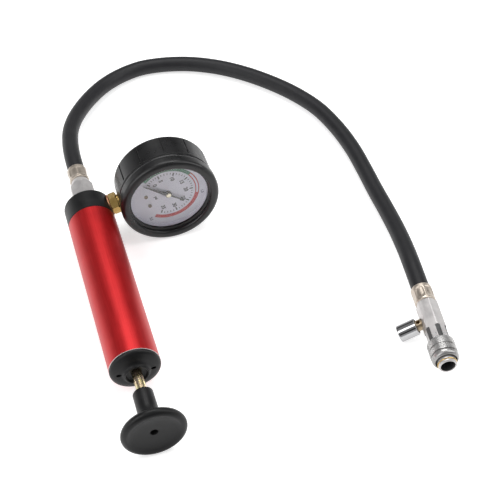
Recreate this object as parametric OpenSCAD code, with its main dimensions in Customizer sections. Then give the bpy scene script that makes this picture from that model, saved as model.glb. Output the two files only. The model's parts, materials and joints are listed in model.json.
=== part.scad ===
// Radiator pressure tester: a hand pump with a screw-on gauge in a rubber boot,
// a rubber hose and a quick coupler with a press-to-vent valve.
// The part lies on the table (z = 0). The barrel runs along Y, its knob toward -Y
// and its hose toward +Y, and the gauge stands off toward +X with its face to -Y.

/* [Barrel] */
// Outside diameter of the barrel tube
barrel_d = 35; // [34:0.5:38]
// Length of the barrel tube
barrel_l = 142; // [120:1:170]
// Wall of the barrel tube
barrel_wall = 1.5; // [1.2:0.1:2]
// Depth of the plug that each end cap pushes into the barrel
plug_l = 10; // [9:0.5:12]

/* [End caps] */
// How far the bottom cap domes out of the barrel
cap_dome = 6.2; // [5.5:0.1:8]
// Diameter of the recess round the rod in the bottom cap
collar_d = 16; // [15.5:0.5:18]
// Length of the head cap that shows past the barrel
head_l = 18.5; // [18:0.5:24]

/* [Plunger] */
// Diameter of the plunger rod
rod_d = 7; // [6:0.25:8]
// Diameter of the knob's disc
knob_d = 43; // [40:0.5:48]
// Length of the knob, from its stem's end to its face
knob_l = 36; // [32:1:42]
// Diameter of the knob's stem where it meets the rod
knob_stem_d = 14; // [13:0.5:15]
// Bare rod between the bottom cap and the knob, as the part lies
rod_gap = 14.8; // [8:0.2:30]
// Length of the piston, with its cup and its nut
piston_l = 14; // [12:0.5:18]

/* [Hose ends] */
// Outside diameter of the hose
hose_d = 13; // [12:0.5:14]
// Bore of the hose, which the barbed tails fill
hose_bore = 7.5; // [6:0.5:8]
// Length of each crimped ferrule
ferrule_l = 17; // [15:0.5:20]
// Wall of each ferrule
ferrule_wall = 0.75; // [0.6:0.05:1]
// Across the flats of the fitting on the head
fitting_af = 16; // [15:0.5:17]
// Length of that fitting's hexagon
fitting_hex_l = 15; // [12:0.5:18]
// Length of the taper between the hexagon and the ferrule
fitting_taper_l = 11; // [8:0.5:14]

/* [Gauge] */
// Gap between the barrel's side and the boot's rim
gauge_gap = 5.9; // [5:0.1:9]
// Diameter of the opening that the boot leaves round the dial
aperture_d = 58.4; // [54:0.2:62]
// How far the boot's lip covers the lens past that opening
lip_cover = 1.8; // [1.4:0.1:3]
// Wall of the metal case
case_wall = 1; // [0.8:0.1:1.4]
// Wall of the rubber boot round the case
boot_wall = 4; // [3.6:0.1:5]
// How far the boot's front rim bulges past its side
boot_bulge = 1; // [0.6:0.1:1.6]
// Depth of the dial behind the boot's inner lip
dial_depth = 6; // [5.5:0.1:8]
// Number of grips moulded round the boot
boot_grips = 12; // [8:1:18]
// Across the flats of the brass stem
stem_af = 14; // [13:0.5:15]
// Length of the needle from its hub to its tip
needle_l = 22.5; // [18:0.5:24]

/* [Coupler] */
// Across the flats of the coupler's body
coupler_af = 14; // [14:0.25:15]
// Length of the full hexagon on the coupler's body
coupler_hex_l = 18; // [16:0.5:24]
// Length of the hexagon with turned-off corners
coupler_neck_l = 10; // [8:0.5:14]
// Diameter of the knurled sleeve
sleeve_d = 19; // [18.5:0.25:21]
// Length of the sleeve
sleeve_l = 21; // [20:0.5:26]
// Bore of the socket that takes the plug
socket_d = 9.2; // [8.8:0.1:9.4]
// Pull of the sleeve that lets the plug go
sleeve_travel = 4.5; // [3:0.5:6]

/* [Vent valve] */
// Diameter of the chromed vent cap
vent_d = 12.2; // [11.4:0.2:13]
// Length of the vent cap
vent_l = 13.6; // [12:0.2:16]
// Gap between the coupler's hexagon and the vent cap
vent_gap = 4.1; // [3.5:0.1:6]
// Droop of the vent cap below the level
vent_droop = 28; // [20:1:40]

/* [Hidden] */
$fn = 64;
eps = 0.01;

// Fits: running gaps on the radius, and how a seal stands
run_fit = 0.05;
slide_fit = 0.1;

barrel_r = barrel_d / 2;
bore_r = barrel_r - barrel_wall;
rod_r = rod_d / 2;
knob_r = knob_d / 2;
knob_stem_r = knob_stem_d / 2;
aperture_r = aperture_d / 2;
case_in_r = aperture_r + lip_cover;
case_r = case_in_r + case_wall;
boot_side_r = case_r + boot_wall;
boot_r = boot_side_r + boot_bulge;
hose_r = hose_d / 2;
tail_r = hose_bore / 2;
ferrule_r = hose_r + ferrule_wall;
sleeve_r = sleeve_d / 2;
socket_r = socket_d / 2;
vent_r = vent_d / 2;
vent_root = coupler_af / 2;

// Stations along the barrel's axis, from the barrel's knob end
head_y = barrel_l;
plug_y = barrel_l - plug_l;
fitting_y = barrel_l + head_l;
pump_ferrule_y = fitting_y + fitting_hex_l + fitting_taper_l;
hose_y = pump_ferrule_y + ferrule_l;
knob_y = -cap_dome - rod_gap;
knob_front_y = knob_y - knob_l;

// The plunger's strokes: in to the head, and out to the buffer
stroke_in = rod_gap - 0.8;
piston_front_y = plug_y - 1 - stroke_in;
piston_y = piston_front_y - piston_l;
guide_l = plug_l + 2;
buffer_l = 3;

// The gauge's axis lies at this reach from the barrel's, swung up so that
// the knob and the boot both rest on the table
reach = barrel_r + gauge_gap + boot_r;
axis_h = knob_r;
swing = asin((boot_r - axis_h) / reach);
stem_y = head_y + 11.5;

// The frame: the middle of the pump and gauge on the table
x_mid = (reach * cos(swing) + boot_r - knob_r) / 2;
y_mid = (knob_front_y + hose_y) / 2;

module row() { translate([-x_mid, -y_mid, axis_h]) children(); }

// Local z runs along the barrel toward the hose, from station y
module along_barrel(y) { row() translate([0, y, 0]) rotate([-90, 0, 0]) children(); }

// Local z runs out of the knob's face, from the end of its stem
module in_knob() { row() translate([0, knob_y, 0]) rotate([90, 0, 0]) children(); }

// Local z is the gauge's axis toward the reader, local x runs away from the barrel
module in_gauge() {
    row() translate([0, stem_y, 0]) rotate([0, -swing, 0]) translate([reach, 0, 0])
        rotate([90, 0, 0]) children();
}

// Local z runs along the stem, from the barrel's axis to the gauge's
module along_stem() {
    row() translate([0, stem_y, 0]) rotate([0, -swing, 0]) rotate([0, 90, 0]) children();
}

// A ring or disc turned about z
module ring(r_out, r_in, z0, z1) {
    translate([0, 0, z0]) difference() {
        cylinder(r = r_out, h = z1 - z0);
        if (r_in > 0) translate([0, 0, -1]) cylinder(r = r_in, h = z1 - z0 + 2);
    }
}

module disc(r, z0, z1) { translate([0, 0, z0]) cylinder(r = r, h = z1 - z0); }

module o_ring(r_mid, r_cord, z) {
    translate([0, 0, z]) rotate_extrude() translate([r_mid, 0]) circle(r = r_cord, $fn = 24);
}

// Points on an arc, for profiles
function arc(x, y, r, from, to, steps = 6) =
    [for (i = [0:steps]) let (a = from + (to - from) * i / steps) [x + r * cos(a), y + r * sin(a)]];

// A hexagon bar with its corners chamfered at both ends
module hex_bar(af, length, chamfer = 0.6) {
    corner_r = af / 2 / cos(30);
    intersection() {
        cylinder(r = corner_r, h = length, $fn = 6);
        rotate_extrude() polygon([[0, 0], [af / 2 - 0.1, 0], [corner_r + 0.2, chamfer + 0.2],
            [corner_r + 0.2, length - chamfer - 0.2], [af / 2 - 0.1, length], [0, length]]);
    }
}

// A round tube swept along points, with a given sideways direction at each point
function unit(v) = v / norm(v);
function tangent(p, i) = unit(p[min(i + 1, len(p) - 1)] - p[max(i - 1, 0)]);
module swept_tube(p, side, r, sides) {
    n = len(p);
    rings = [for (i = [0:n - 1]) let (t = tangent(p, i), u = unit(side[i] - (side[i] * t) * t),
        v = cross(t, u)) for (k = [0:sides - 1]) let (a = 360 * k / sides)
        p[i] + r * (cos(a) * u + sin(a) * v)];
    skin = [for (i = [0:n - 2]) for (k = [0:sides - 1]) let (a = i * sides + k,
        b = i * sides + (k + 1) % sides) each [[a, a + sides, b], [b, a + sides, b + sides]]];
    ends = [for (k = [1:sides - 2]) each [[0, k, k + 1],
        [(n - 1) * sides, (n - 1) * sides + k + 1, (n - 1) * sides + k]]];
    polyhedron(points = rings, faces = concat(skin, ends));
}

// A coil spring about z, between z0 and z1
module coil_spring(r_coil, r_wire, z0, z1, turns, turn_steps = 8) {
    steps = turns * turn_steps;
    spin = [for (i = [0:steps]) 360 * i / turn_steps];
    rise = (z1 - z0 - 2 * r_wire) / steps;
    swept_tube([for (i = [0:steps]) [r_coil * cos(spin[i]), r_coil * sin(spin[i]),
        z0 + r_wire + rise * i]], [for (a = spin) [cos(a), sin(a), 0]], r_wire, 6);
}

// ---- Barrel and its end caps ----

rim_chamfer = 0.4;

module barrel() {
    color("firebrick") along_barrel(0) rotate_extrude() polygon([[bore_r, 0],
        [barrel_r - rim_chamfer, 0], [barrel_r, rim_chamfer], [barrel_r, barrel_l - rim_chamfer],
        [barrel_r - rim_chamfer, barrel_l], [bore_r, barrel_l]]);
}

guide_r = rod_r + 2;
guide_flange_r = guide_r + 2.5;
collar_r = collar_d / 2;
collar_floor = -3;
dome_top_r = collar_r + 1.2;
cap_edge = 1.5;
slot_r = (dome_top_r + barrel_r) / 2 - 2;

// The dome is a quarter ellipse, from the collar out to the barrel's rim
function dome(steps) = [for (i = [steps:-1:0]) let (a = 90 * i / steps)
    [dome_top_r + (barrel_r - dome_top_r) * cos(a), -cap_edge - (cap_dome - cap_edge) * sin(a)]];

module bottom_cap() {
    color("#2b2b2d") along_barrel(0) difference() {
        rotate_extrude() polygon(concat([[guide_r, plug_l], [guide_r, collar_floor],
            [collar_r, collar_floor], [collar_r, -cap_dome + 0.6], [collar_r + 0.4, -cap_dome]],
            dome(8),
            [[barrel_r, 0], [bore_r, 0], [bore_r, plug_l], [bore_r - 2.5, plug_l],
            [bore_r - 2.5, 2.5], [guide_flange_r + 0.5, 2.5], [guide_flange_r + 0.5, plug_l]]));
        for (side = [0, 180]) rotate(side) translate([slot_r, 0, -cap_dome - 1]) spanner_slot();
    }
}

// An oblong pocket for a pin spanner, long on the radius
module spanner_slot() {
    slot_w = 1.8;
    slot_l = 3.4;
    slot_depth = 3.6;
    for (x = [-1, 1]) translate([x * (slot_l - slot_w) / 2, 0, 0])
        cylinder(d = slot_w, h = slot_depth, $fn = 24);
    translate([-(slot_l - slot_w) / 2, -slot_w / 2, 0]) cube([slot_l - slot_w, slot_w, slot_depth]);
}

module rod_guide() {
    color("#4a4a4c") along_barrel(0) difference() {
        union() {
            disc(guide_r, collar_floor + 0.5, guide_l);
            disc(guide_flange_r, plug_l, guide_l);
        }
        disc(rod_r + run_fit, collar_floor, guide_l + 1);
    }
}

module end_buffer() {
    color("#1d1d1e") along_barrel(0)
        ring(guide_flange_r + 1, rod_r + 0.3, guide_l, guide_l + buffer_l);
}

// Valve chamber, gallery and threaded ports inside the head
chamber_r = 4;
chamber_l = 14;
gallery_r = 1.5;
port_r = 4.85;
port_floor = 7.5;
fitting_shank_l = head_l - 13;
fitting_shank_r = 5;
spot_s = barrel_r - 0.9;
o_ring_cord = 1.1;
o_ring_groove_r = bore_r - 2 * o_ring_cord;
groove_w = 2.6;

module head_cap() {
    color("#2b2b2d") difference() {
        along_barrel(head_y) difference() {
            rotate_extrude() polygon(concat([[0, -plug_l], [bore_r, -plug_l],
                [bore_r, -plug_l / 2 - groove_w / 2], [o_ring_groove_r, -plug_l / 2 - groove_w / 2],
                [o_ring_groove_r, -plug_l / 2 + groove_w / 2], [bore_r, -plug_l / 2 + groove_w / 2],
                [bore_r, 0], [barrel_r, 0]],
                arc(barrel_r - 1.2, head_l - 1.2, 1.2, 0, 90, 4), [[0, head_l]]));
            disc(chamber_r, -plug_l - 1, chamber_l - plug_l);
            disc(gallery_r, 0, head_l);
            disc(fitting_shank_r, head_l - fitting_shank_l, head_l + 1);
        }
        along_stem() {
            disc(port_r, port_floor, reach);
            disc(1.2, 0, reach);
            disc(stem_washer_r + 0.3, spot_s, reach);
        }
    }
}

module head_o_ring() {
    color("#1d1d1e") along_barrel(head_y)
        o_ring(bore_r - o_ring_cord, o_ring_cord, -plug_l / 2);
}

// Outlet check valve: a ball on a seat, closed by a spring
seat_l = 4;
seat_bore_r = 1.5;
ball_r = 2.5;
seat_cone = 1.2;
ball_lift = 1;
ball_z = seat_l - seat_cone - seat_bore_r + ball_r / cos(45) + 0.02;

module in_chamber() { along_barrel(plug_y) children(); }

module valve_seat() {
    color("#b8863b") in_chamber() rotate_extrude() polygon([[seat_bore_r, 0], [chamber_r, 0],
        [chamber_r, seat_l], [seat_bore_r + seat_cone, seat_l],
        [seat_bore_r, seat_l - seat_cone]]);
}

module valve_ball() { color("#cfd2d4") in_chamber() translate([0, 0, ball_z]) sphere(ball_r); }

module valve_spring() {
    color("#a9adb0") in_chamber()
        coil_spring(1.9, 0.3, ball_z + 1.85, chamber_l, 4);
}

// ---- Hose fitting and ferrule on the pump ----

tail_bore_r = 2.2;
barb_h = 0.35;
barb_pitch = 3.5;
tail_l = ferrule_l - 3;

collar_t = 2;

// A barbed tail along z, which the hose is pushed over, past the ferrule's collar
module barbed_tail(z) {
    first = collar_t + 0.6;
    barbs = floor((tail_l - first) / barb_pitch);
    translate([0, 0, z]) rotate_extrude() polygon(concat([[0, 0], [tail_r, 0]],
        [for (i = [0:barbs - 1]) each [[tail_r, first + i * barb_pitch],
            [tail_r + barb_h, first + 0.4 + i * barb_pitch], [tail_r, first + (i + 1) * barb_pitch]]],
        [[tail_r - 0.4, tail_l], [0, tail_l]]));
}

module outlet_fitting() {
    taper_r = ferrule_r - 0.9;
    color("#b9b6b1") along_barrel(fitting_y) difference() {
        union() {
            disc(fitting_shank_r, -fitting_shank_l, 0);
            hex_bar(fitting_af, fitting_hex_l);
            translate([0, 0, fitting_hex_l - eps]) cylinder(r1 = fitting_af / 2 - 0.3, r2 = taper_r,
                h = fitting_taper_l + eps);
            barbed_tail(fitting_hex_l + fitting_taper_l);
        }
        disc(tail_bore_r, -fitting_shank_l - 1, 100);
    }
}

// A ferrule about z: its collar end at 0, its open end at ferrule_l,
// crimped by eight jaws that leave oblong dents
dents = 8;
dent_depth = 0.35;
module crimped_ferrule() {
    difference() {
        rotate_extrude() polygon([[tail_r, 0], [ferrule_r - 0.6, 0], [ferrule_r, 0.6],
            [ferrule_r, ferrule_l - 0.3], [ferrule_r - 0.3, ferrule_l], [hose_r, ferrule_l],
            [hose_r, collar_t], [tail_r, collar_t]]);
        for (i = [0:dents - 1]) rotate(i * 360 / dents)
            translate([ferrule_r - dent_depth, -1.9, 4]) cube([2, 3.8, ferrule_l - 8]);
    }
}

module pump_ferrule() {
    color("#a99a83") along_barrel(pump_ferrule_y) crimped_ferrule();
}

// ---- Plunger ----

socket_l = 20;
knob_screw_r = 1.5;
thread_r = 2.5;
flutes = 8;

module rod() {
    shoulder = piston_y - knob_y;
    color("#b5a777") row() translate([0, knob_y, 0]) rotate([-90, 0, 0]) difference() {
        union() {
            disc(rod_r, -socket_l, shoulder);
            disc(thread_r, shoulder - 1, shoulder + piston_l - 0.5);
        }
        disc(knob_screw_r, -socket_l - 1, -socket_l + 8);
        for (i = [0:flutes - 1]) rotate(i * 360 / flutes)
            translate([rod_r + 0.25, 0, -socket_l - 1]) cylinder(r = 0.6, h = socket_l + shoulder + 1.01,
                $fn = 24);
    }
}

disc_t = 7;
rim_round = 2.6;
dish = 1.8;
knob_flare = 1.2;

module knob() {
    back = knob_l - disc_t;
    color("#262628") in_knob() difference() {
        rotate_extrude() polygon(concat(
            [[0, 0]], arc(knob_stem_r - 1, 1, 1, -90, 0, 3),
            [[knob_stem_r + knob_flare, back - 5]],
            arc(knob_stem_r + knob_flare + 4, back - 4, 4, 180, 100, 5),
            [[knob_r - rim_round - 1.5, back + 1]],
            arc(knob_r - rim_round, knob_l - rim_round - 0.6, rim_round, -60, 90, 8),
            arc(knob_r - rim_round - 4.5, knob_l + 2.2, 3.4, -40, -90, 4),
            [[0, knob_l - dish + 0.6]]));
        disc(rod_r, -1, socket_l);
        disc(knob_screw_r + 0.1, 0, knob_l);
        disc(2.8, socket_l + 5, knob_l + 1);
    }
}

module knob_screw() {
    head_z = socket_l + 5;
    color("#3a3a3c") in_knob() difference() {
        union() {
            disc(2.7, head_z, head_z + 2.4);
            disc(knob_screw_r - 0.05, socket_l - 6, head_z);
        }
        translate([0, 0, head_z + 1]) cylinder(r = 1.45, h = 2, $fn = 6);
    }
}

// The piston: a disc against the rod's shoulder, a cup seal that opens
// toward the head, a washer and a nut
piston_disc_l = 5;
cup_base = 2;
washer_t = 1.2;
nut_t = 3.2;

module on_piston() { along_barrel(piston_y) children(); }

module piston() {
    color("#c9cbce") on_piston() rotate_extrude() polygon([[thread_r, 0], [bore_r - 2, 0],
        [bore_r - 0.4, 1.6], [bore_r - 0.4, piston_disc_l], [thread_r, piston_disc_l]]);
}

module cup_seal() {
    lip = bore_r - slide_fit;
    color("#232325") on_piston() rotate_extrude() polygon([[thread_r, piston_disc_l],
        [lip - 0.8, piston_disc_l], [lip - 0.3, piston_disc_l + 1.2], [lip, piston_l],
        [lip - 0.9, piston_l], [lip - 1.8, piston_disc_l + cup_base + 0.8],
        [lip - 2.6, piston_disc_l + cup_base], [thread_r, piston_disc_l + cup_base]]);
}

module cup_washer() {
    z = piston_disc_l + cup_base;
    color("#c9cbce") on_piston() ring(bore_r - 5, thread_r, z, z + washer_t);
}

module piston_nut() {
    z = piston_disc_l + cup_base + washer_t;
    color("#b9b6b1") on_piston() difference() {
        translate([0, 0, z]) hex_bar(8, nut_t, 0.4);
        disc(thread_r, z - 1, z + nut_t + 1);
    }
}

// ---- Gauge ----

// Stations on the gauge's axis, from the plane of its stem
lip_z = 17.5;
case_ledge = 0.7;
boot_front = lip_z + 5;
boot_back = -11.5;
case_back = -9.5;
lens_t = 1.6;
lens_z = lip_z - 0.5 - lens_t;
gasket_t = 0.8;
gasket_z = lens_z - gasket_t;
dial_t = 0.8;
dial_front = lip_z - dial_depth;

// Distances along the stem, from the barrel's axis
stem_washer_r = 8;
stem_washer_t = 1;
stem_hex_s = spot_s + stem_washer_t;
stem_hex_e = reach - boot_side_r - 0.8;
stem_neck_r = 5.5;
block_s = reach - case_in_r + case_ledge + 0.9;
block_l = 11.5;
block_w = 12;
block_front = 1.5;
block_back = case_back + 1;

module gauge_stem() {
    color("#b8863b") difference() {
        union() {
            along_stem() {
                disc(port_r, port_floor, stem_hex_s);
                translate([0, 0, stem_hex_s]) rotate(15) hex_bar(stem_af, stem_hex_e - stem_hex_s);
                disc(stem_neck_r, stem_hex_e - eps, block_s + 1);
            }
            in_gauge() translate([block_s - reach, -block_w / 2, block_back])
                cube([block_l, block_w, block_front - block_back]);
        }
        along_stem() disc(1.5, port_floor - 1, block_s + block_l - 3);
        in_gauge() translate([block_s - reach + block_l - 4, 0, 0]) rotate([90, 0, 0])
            cylinder(r = 1, h = block_w, $fn = 24);
        in_gauge() for (p = case_screw_places()) translate([p[0], p[1], block_back - 1])
            cylinder(r = 1, h = 4, $fn = 24);
    }
}

module stem_washer() {
    color("#a5552e") along_stem() ring(stem_washer_r, port_r, spot_s, stem_hex_s);
}

module gauge_case() {
    color("#8f8f90") difference() {
        in_gauge() difference() {
            rotate_extrude() polygon([[0, case_back], [case_r - 1.5, case_back], [case_r, case_back + 1.5],
                [case_r, lip_z - 0.3], [case_in_r, lip_z - 0.3], [case_in_r, gasket_z],
                [case_in_r - case_ledge, gasket_z], [case_in_r - case_ledge, case_back + 1.5],
                [case_in_r - case_ledge - 0.5, case_back + 1], [0, case_back + 1]]);
            for (p = case_screw_places()) translate([p[0], p[1], case_back - 1])
                cylinder(r = 1.2, h = 3, $fn = 24);
        }
        along_stem() disc(stem_neck_r, 0, block_s);
    }
}

function case_screw_places() = [for (side = [-1, 1]) [block_s - reach + 5.3, side * 3.6]];

// Two screws hold the case's back to the stem's block
module case_screws() {
    color("#b9b6b1") in_gauge() for (p = case_screw_places()) translate([p[0], p[1], 0]) difference() {
        union() {
            disc(2, case_back - 1.1, case_back, $fn = 32);
            disc(1, case_back - eps, block_back + 2, $fn = 24);
        }
        translate([-3, -0.3, case_back - 2]) cube([6, 0.6, 1.4]);
    }
}

grip_w = 1.2;
grip_depth = 0.7;
grip_top = lip_z - 9;

// The rubber boot: a bulging front rim with an inner lip, a side with grips
// and a rounded back edge that turns in behind the case
module gauge_boot() {
    color("#2a2a2c") difference() {
        in_gauge() difference() {
            rotate_extrude() polygon(concat(
                [[case_r - 5, case_back], [case_r - 5, boot_back]],
                arc(boot_side_r - 3, boot_back + 3, 3, -90, 0, 5),
                [[boot_side_r, lip_z - 7.6], [boot_side_r - 0.6, lip_z - 7]],
                [[boot_side_r - 0.6, lip_z - 6.4]],
                arc(boot_r - 3.5, lip_z - 2.6, 3.5, -60, 0, 4),
                [[boot_r, lip_z + 1]],
                arc(boot_r - 3.4, boot_front - 3.4, 3.4, 10, 90, 5),
                arc(boot_r - 4.6, boot_front - 2.2, 2.2, 100, 160, 3),
                [[aperture_r + 1.4, lip_z + 1.1], [aperture_r, lip_z + 0.6], [aperture_r, lip_z - 0.5],
                [case_in_r, lip_z - 0.5], [case_in_r, lip_z - 0.3], [case_r, lip_z - 0.3],
                [case_r, case_back + 1.5], [case_r - 1.5, case_back]]));
            for (i = [0:boot_grips - 1]) rotate((i + 0.5) * 360 / boot_grips)
                translate([boot_side_r - grip_depth, -grip_w / 2, boot_back - 1])
                    cube([3, grip_w, grip_top - boot_back + 1]);
        }
        along_stem() disc(stem_neck_r, 0, block_s);
    }
}

module lens() { color("#dfe8ee", 0.4) in_gauge() disc(case_in_r, lens_z, lens_z + lens_t); }

module lens_gasket() {
    color("#1d1d1e") in_gauge() ring(case_in_r, aperture_r + 0.2, gasket_z, lens_z);
}

dial_screw_x = -16;
dial_screw_y = 4.8;
function dial_screw_places() = [for (side = [-1, 1]) [dial_screw_x, side * dial_screw_y]];

module dial() {
    color("#e9e8f1") in_gauge() difference() {
        disc(case_in_r - case_ledge - 0.3, dial_front - dial_t, dial_front);
        disc(2.2, 0, dial_front + 1);
        for (p = dial_screw_places()) translate([p[0], p[1], 0]) disc(0.8, 0, dial_front + 1, $fn = 24);
    }
}

module dial_screws() {
    color("#b8863b") in_gauge() for (p = dial_screw_places()) translate([p[0], p[1], 0]) difference() {
        union() {
            disc(1.35, dial_front, dial_front + 0.9, $fn = 32);
            disc(0.8, dial_front - 4, dial_front + 0.1, $fn = 24);
        }
        rotate(30) translate([-2, -0.2, dial_front + 0.45]) cube([4, 0.4, 2]);
    }
}

// Movement: a pinion on the needle's arbor, driven by a toothed sector
pinion_teeth = 8;
wheel_teeth = 36;
tooth_module = 0.55;
pinion_r = pinion_teeth * tooth_module / 2;
wheel_r = wheel_teeth * tooth_module / 2;
pivot_y = pinion_r + wheel_r;
arbor_r = 0.6;
plate_t = 1;
low_plate = block_front;
gear_z = low_plate + plate_t + 0.5;
gear_t = 1.2;
high_plate = gear_z + gear_t + 1.4;
hub_z = dial_front + 0.9;
hub_h = 2.1;
needle_t = 0.4;
zero_angle = 135;
arm_r = 4.6;
arm_angle = -30;
sector_from = -157;
sector_to = -83;

module pinion_arbor() {
    color("#b8863b") in_gauge() {
        disc(arbor_r, low_plate + 0.1, hub_z + hub_h - 0.4, $fn = 24);
        translate([0, 0, gear_z]) linear_extrude(gear_t)
            polygon([for (i = [0:pinion_teeth - 1]) each tooth(90 + i * 360 / pinion_teeth,
                pinion_r - 0.6, pinion_r + 0.4, 9.5, 5)]);
    }
}

// One tooth as four points: root and tip radius, and half its width there in degrees
function tooth(at, root, tip, root_half, tip_half) =
    [for (c = [[root, -root_half], [tip, -tip_half], [tip, tip_half], [root, root_half]])
        [c[0] * cos(at + c[1]), c[0] * sin(at + c[1])]];

module sector_gear() {
    pitch = 360 / wheel_teeth;
    count = floor((sector_to - sector_from) / pitch);
    arm = arm_r * [cos(arm_angle), sin(arm_angle)];
    color("#b8863b") in_gauge() translate([0, pivot_y, 0]) difference() {
        union() {
            disc(0.8, low_plate + 0.1, high_plate + plate_t - 0.1, $fn = 24);
            disc(1.8, gear_z, gear_z + gear_t, $fn = 32);
            translate([0, 0, gear_z]) linear_extrude(gear_t) {
                polygon(concat([[0, 0]], [for (i = [0:count - 1])
                    each tooth(-90 + pitch / 2 - i * pitch, wheel_r - 0.7, wheel_r + 0.4, -2.1, -1.1)]));
                polygon([[-0.9, 0.9], [0.9, 0.9], arm + [0.7, 0.9], arm + [0.7, -0.7], [-0.5, -1.2]]);
            }
            translate([arm[0], arm[1], 0]) disc(0.45, gear_z, gear_z + gear_t + 0.9, $fn = 24);
        }
        // a window that lightens the sector
        for (a = [-100, -124]) rotate(a) translate([5.6, 0, gear_z - 1]) cylinder(r = 1.2, h = 4, $fn = 24);
    }
}

pillar_r = 1;
function pillar_places() = [[-5.2, 15.5], [0, 17.2], [-4, -4.5], [4, -4.5]];

module movement_frame() {
    color("#c39a4e") in_gauge() difference() {
        union() {
            translate([0, 0, low_plate]) linear_extrude(plate_t) polygon([
                [block_s - reach + 1, -5.5], [block_s - reach + 1, 5.5], [-9, 7], [-7, 18.8], [2, 18.8],
                [3, 9], [6, 3], [6, -6.5], [-9, -7]]);
            translate([0, 0, high_plate]) linear_extrude(plate_t) polygon([
                [-6, -6.2], [-6.8, 18.6], [2, 18.6], [3, 9], [5.8, 3], [5.8, -6.2]]);
            for (p = pillar_places()) translate([p[0], p[1], 0])
                disc(pillar_r, low_plate + plate_t - eps, high_plate + eps, $fn = 24);
            // posts that the dial rests on
            for (p = dial_screw_places()) translate([p[0], p[1], 0])
                disc(1.7, low_plate + plate_t - eps, dial_front - dial_t, $fn = 32);
        }
        disc(arbor_r + run_fit, low_plate - 1, high_plate + 2, $fn = 24);
        translate([0, pivot_y, 0]) disc(0.8 + run_fit, low_plate - 1, high_plate + 2, $fn = 24);
        for (p = dial_screw_places()) translate([p[0], p[1], 0]) disc(0.8, dial_front - 4, dial_front, $fn = 24);
    }
}

// Bourdon tube: a flattened tube bent round, from the block to its free tip
tube_mid_r = case_in_r - 7;
tube_w = 8;
tube_h = 3.2;
tube_wall = 0.4;
tube_z = -2.9;
tube_from = 195;
tube_to = 424;

module tube_profile(grow) {
    translate([tube_mid_r, tube_z]) {
        square([tube_h + 2 * grow, tube_w - tube_h], center = true);
        for (side = [-1, 1]) translate([0, side * (tube_w - tube_h) / 2])
            circle(r = tube_h / 2 + grow, $fn = 32);
    }
}

module bourdon_tube() {
    color("#c39a4e") in_gauge() difference() {
        rotate([0, 0, tube_from]) rotate_extrude(angle = tube_to - tube_from) tube_profile(0);
        rotate([0, 0, tube_from - 5]) rotate_extrude(angle = tube_to - tube_from + 10)
            tube_profile(-tube_wall);
        translate([block_s - reach, -block_w / 2, block_back]) cube([block_l, block_w, 20]);
    }
}

tip_x = tube_mid_r * cos(tube_to);
tip_y = tube_mid_r * sin(tube_to);

module tube_tip() {
    color("#b8863b") in_gauge() {
        rotate([0, 0, tube_to]) translate([tube_mid_r - tube_h / 2, 0, tube_z - tube_w / 2])
            cube([tube_h, 2, tube_w]);
        rotate([0, 0, tube_to]) translate([tube_mid_r - 1, 0, tube_z]) cube([2, 2, gear_z - tube_z]);
        translate(link_top()) disc(0.45, gear_z - 0.5, gear_z + gear_t - 0.1, $fn = 24);
    }
}

function link_top() = [(tube_mid_r) * cos(tube_to) - sin(tube_to), tube_mid_r * sin(tube_to) + cos(tube_to)];
link_t = 0.6;

module tip_link() {
    arm = [arm_r * cos(arm_angle), pivot_y + arm_r * sin(arm_angle)];
    top = link_top();
    turn = atan2(top[1] - arm[1], top[0] - arm[0]);
    length = norm(top - arm);
    color("#a9adb0") in_gauge() translate([arm[0], arm[1], gear_z + gear_t + 0.1]) rotate(turn) difference() {
        union() {
            translate([0, -0.6, 0]) cube([length, 1.2, link_t]);
            disc(1, 0, link_t, $fn = 32);
            translate([length, 0, 0]) disc(1, 0, link_t, $fn = 32);
        }
        disc(0.45 + run_fit, -1, 2, $fn = 24);
        translate([length, 0, 0]) disc(0.5, -1, 2, $fn = 24);
    }
}

module needle() {
    tail = 14;
    color("#1c1c1e") in_gauge() rotate(zero_angle) translate([0, 0, hub_z + 1]) difference() {
        linear_extrude(needle_t) {
            polygon([[1.5, -0.6], [needle_l - 2, -0.35], [needle_l, 0], [needle_l - 2, 0.35], [1.5, 0.6]]);
            polygon([[-1.5, -0.5], [-1.5, 0.5], [-tail + 3.4, 0.35], [-tail + 3, 1.1], [-tail, 0.75],
                [-tail, -0.75], [-tail + 3, -1.1], [-tail + 3.4, -0.35]]);
            circle(r = 2.5);
        }
        disc(1.2, -1, 2, $fn = 32);
    }
}

module needle_hub() {
    color("#d8c795") in_gauge() difference() {
        union() {
            disc(2, hub_z, hub_z + 1, $fn = 32);
            disc(1.2, hub_z, hub_z + hub_h, $fn = 32);
        }
        disc(arbor_r, 0, hub_z + hub_h - 0.4, $fn = 24);
    }
}

// ---- Hose ----

// Centre line of the hose: x and y from the barrel's axis and knob end,
// and its height over the table. It leaves the pump level, sinks to the table,
// goes round and climbs to the coupler.
hose_inset = ferrule_l - 2.5;
route = [[0, 216, 21.5], [0.5, 228, 20.8], [2, 243, 19], [5, 259, 16.8], [11, 276, 14.2],
    [20, 293, 11.6], [31, 309, 9.2], [45, 324, 7.4], [62, 335, 6.6], [82, 341, 6.6],
    [104, 340, 6.6], [126, 334, 6.6], [147, 323, 6.6], [166, 308, 6.6], [183, 290, 6.6],
    [199, 268, 6.6], [212, 242, 6.6], [219, 213, 6.6], [222, 184, 6.6], [222, 157, 6.6],
    [221, 131, 7.2], [220, 105, 9], [218, 80, 12], [215, 56, 15], [212.5, 40, 16.7],
    [210.8, 28, 17]];
coupler_at = [208.7, 13];
heading = 8.2;

// The vent cap's rim rests on the table and holds the coupler at this height
coupler_h = (vent_root + vent_gap + vent_l) * sin(vent_droop) + vent_r * cos(vent_droop);

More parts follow.
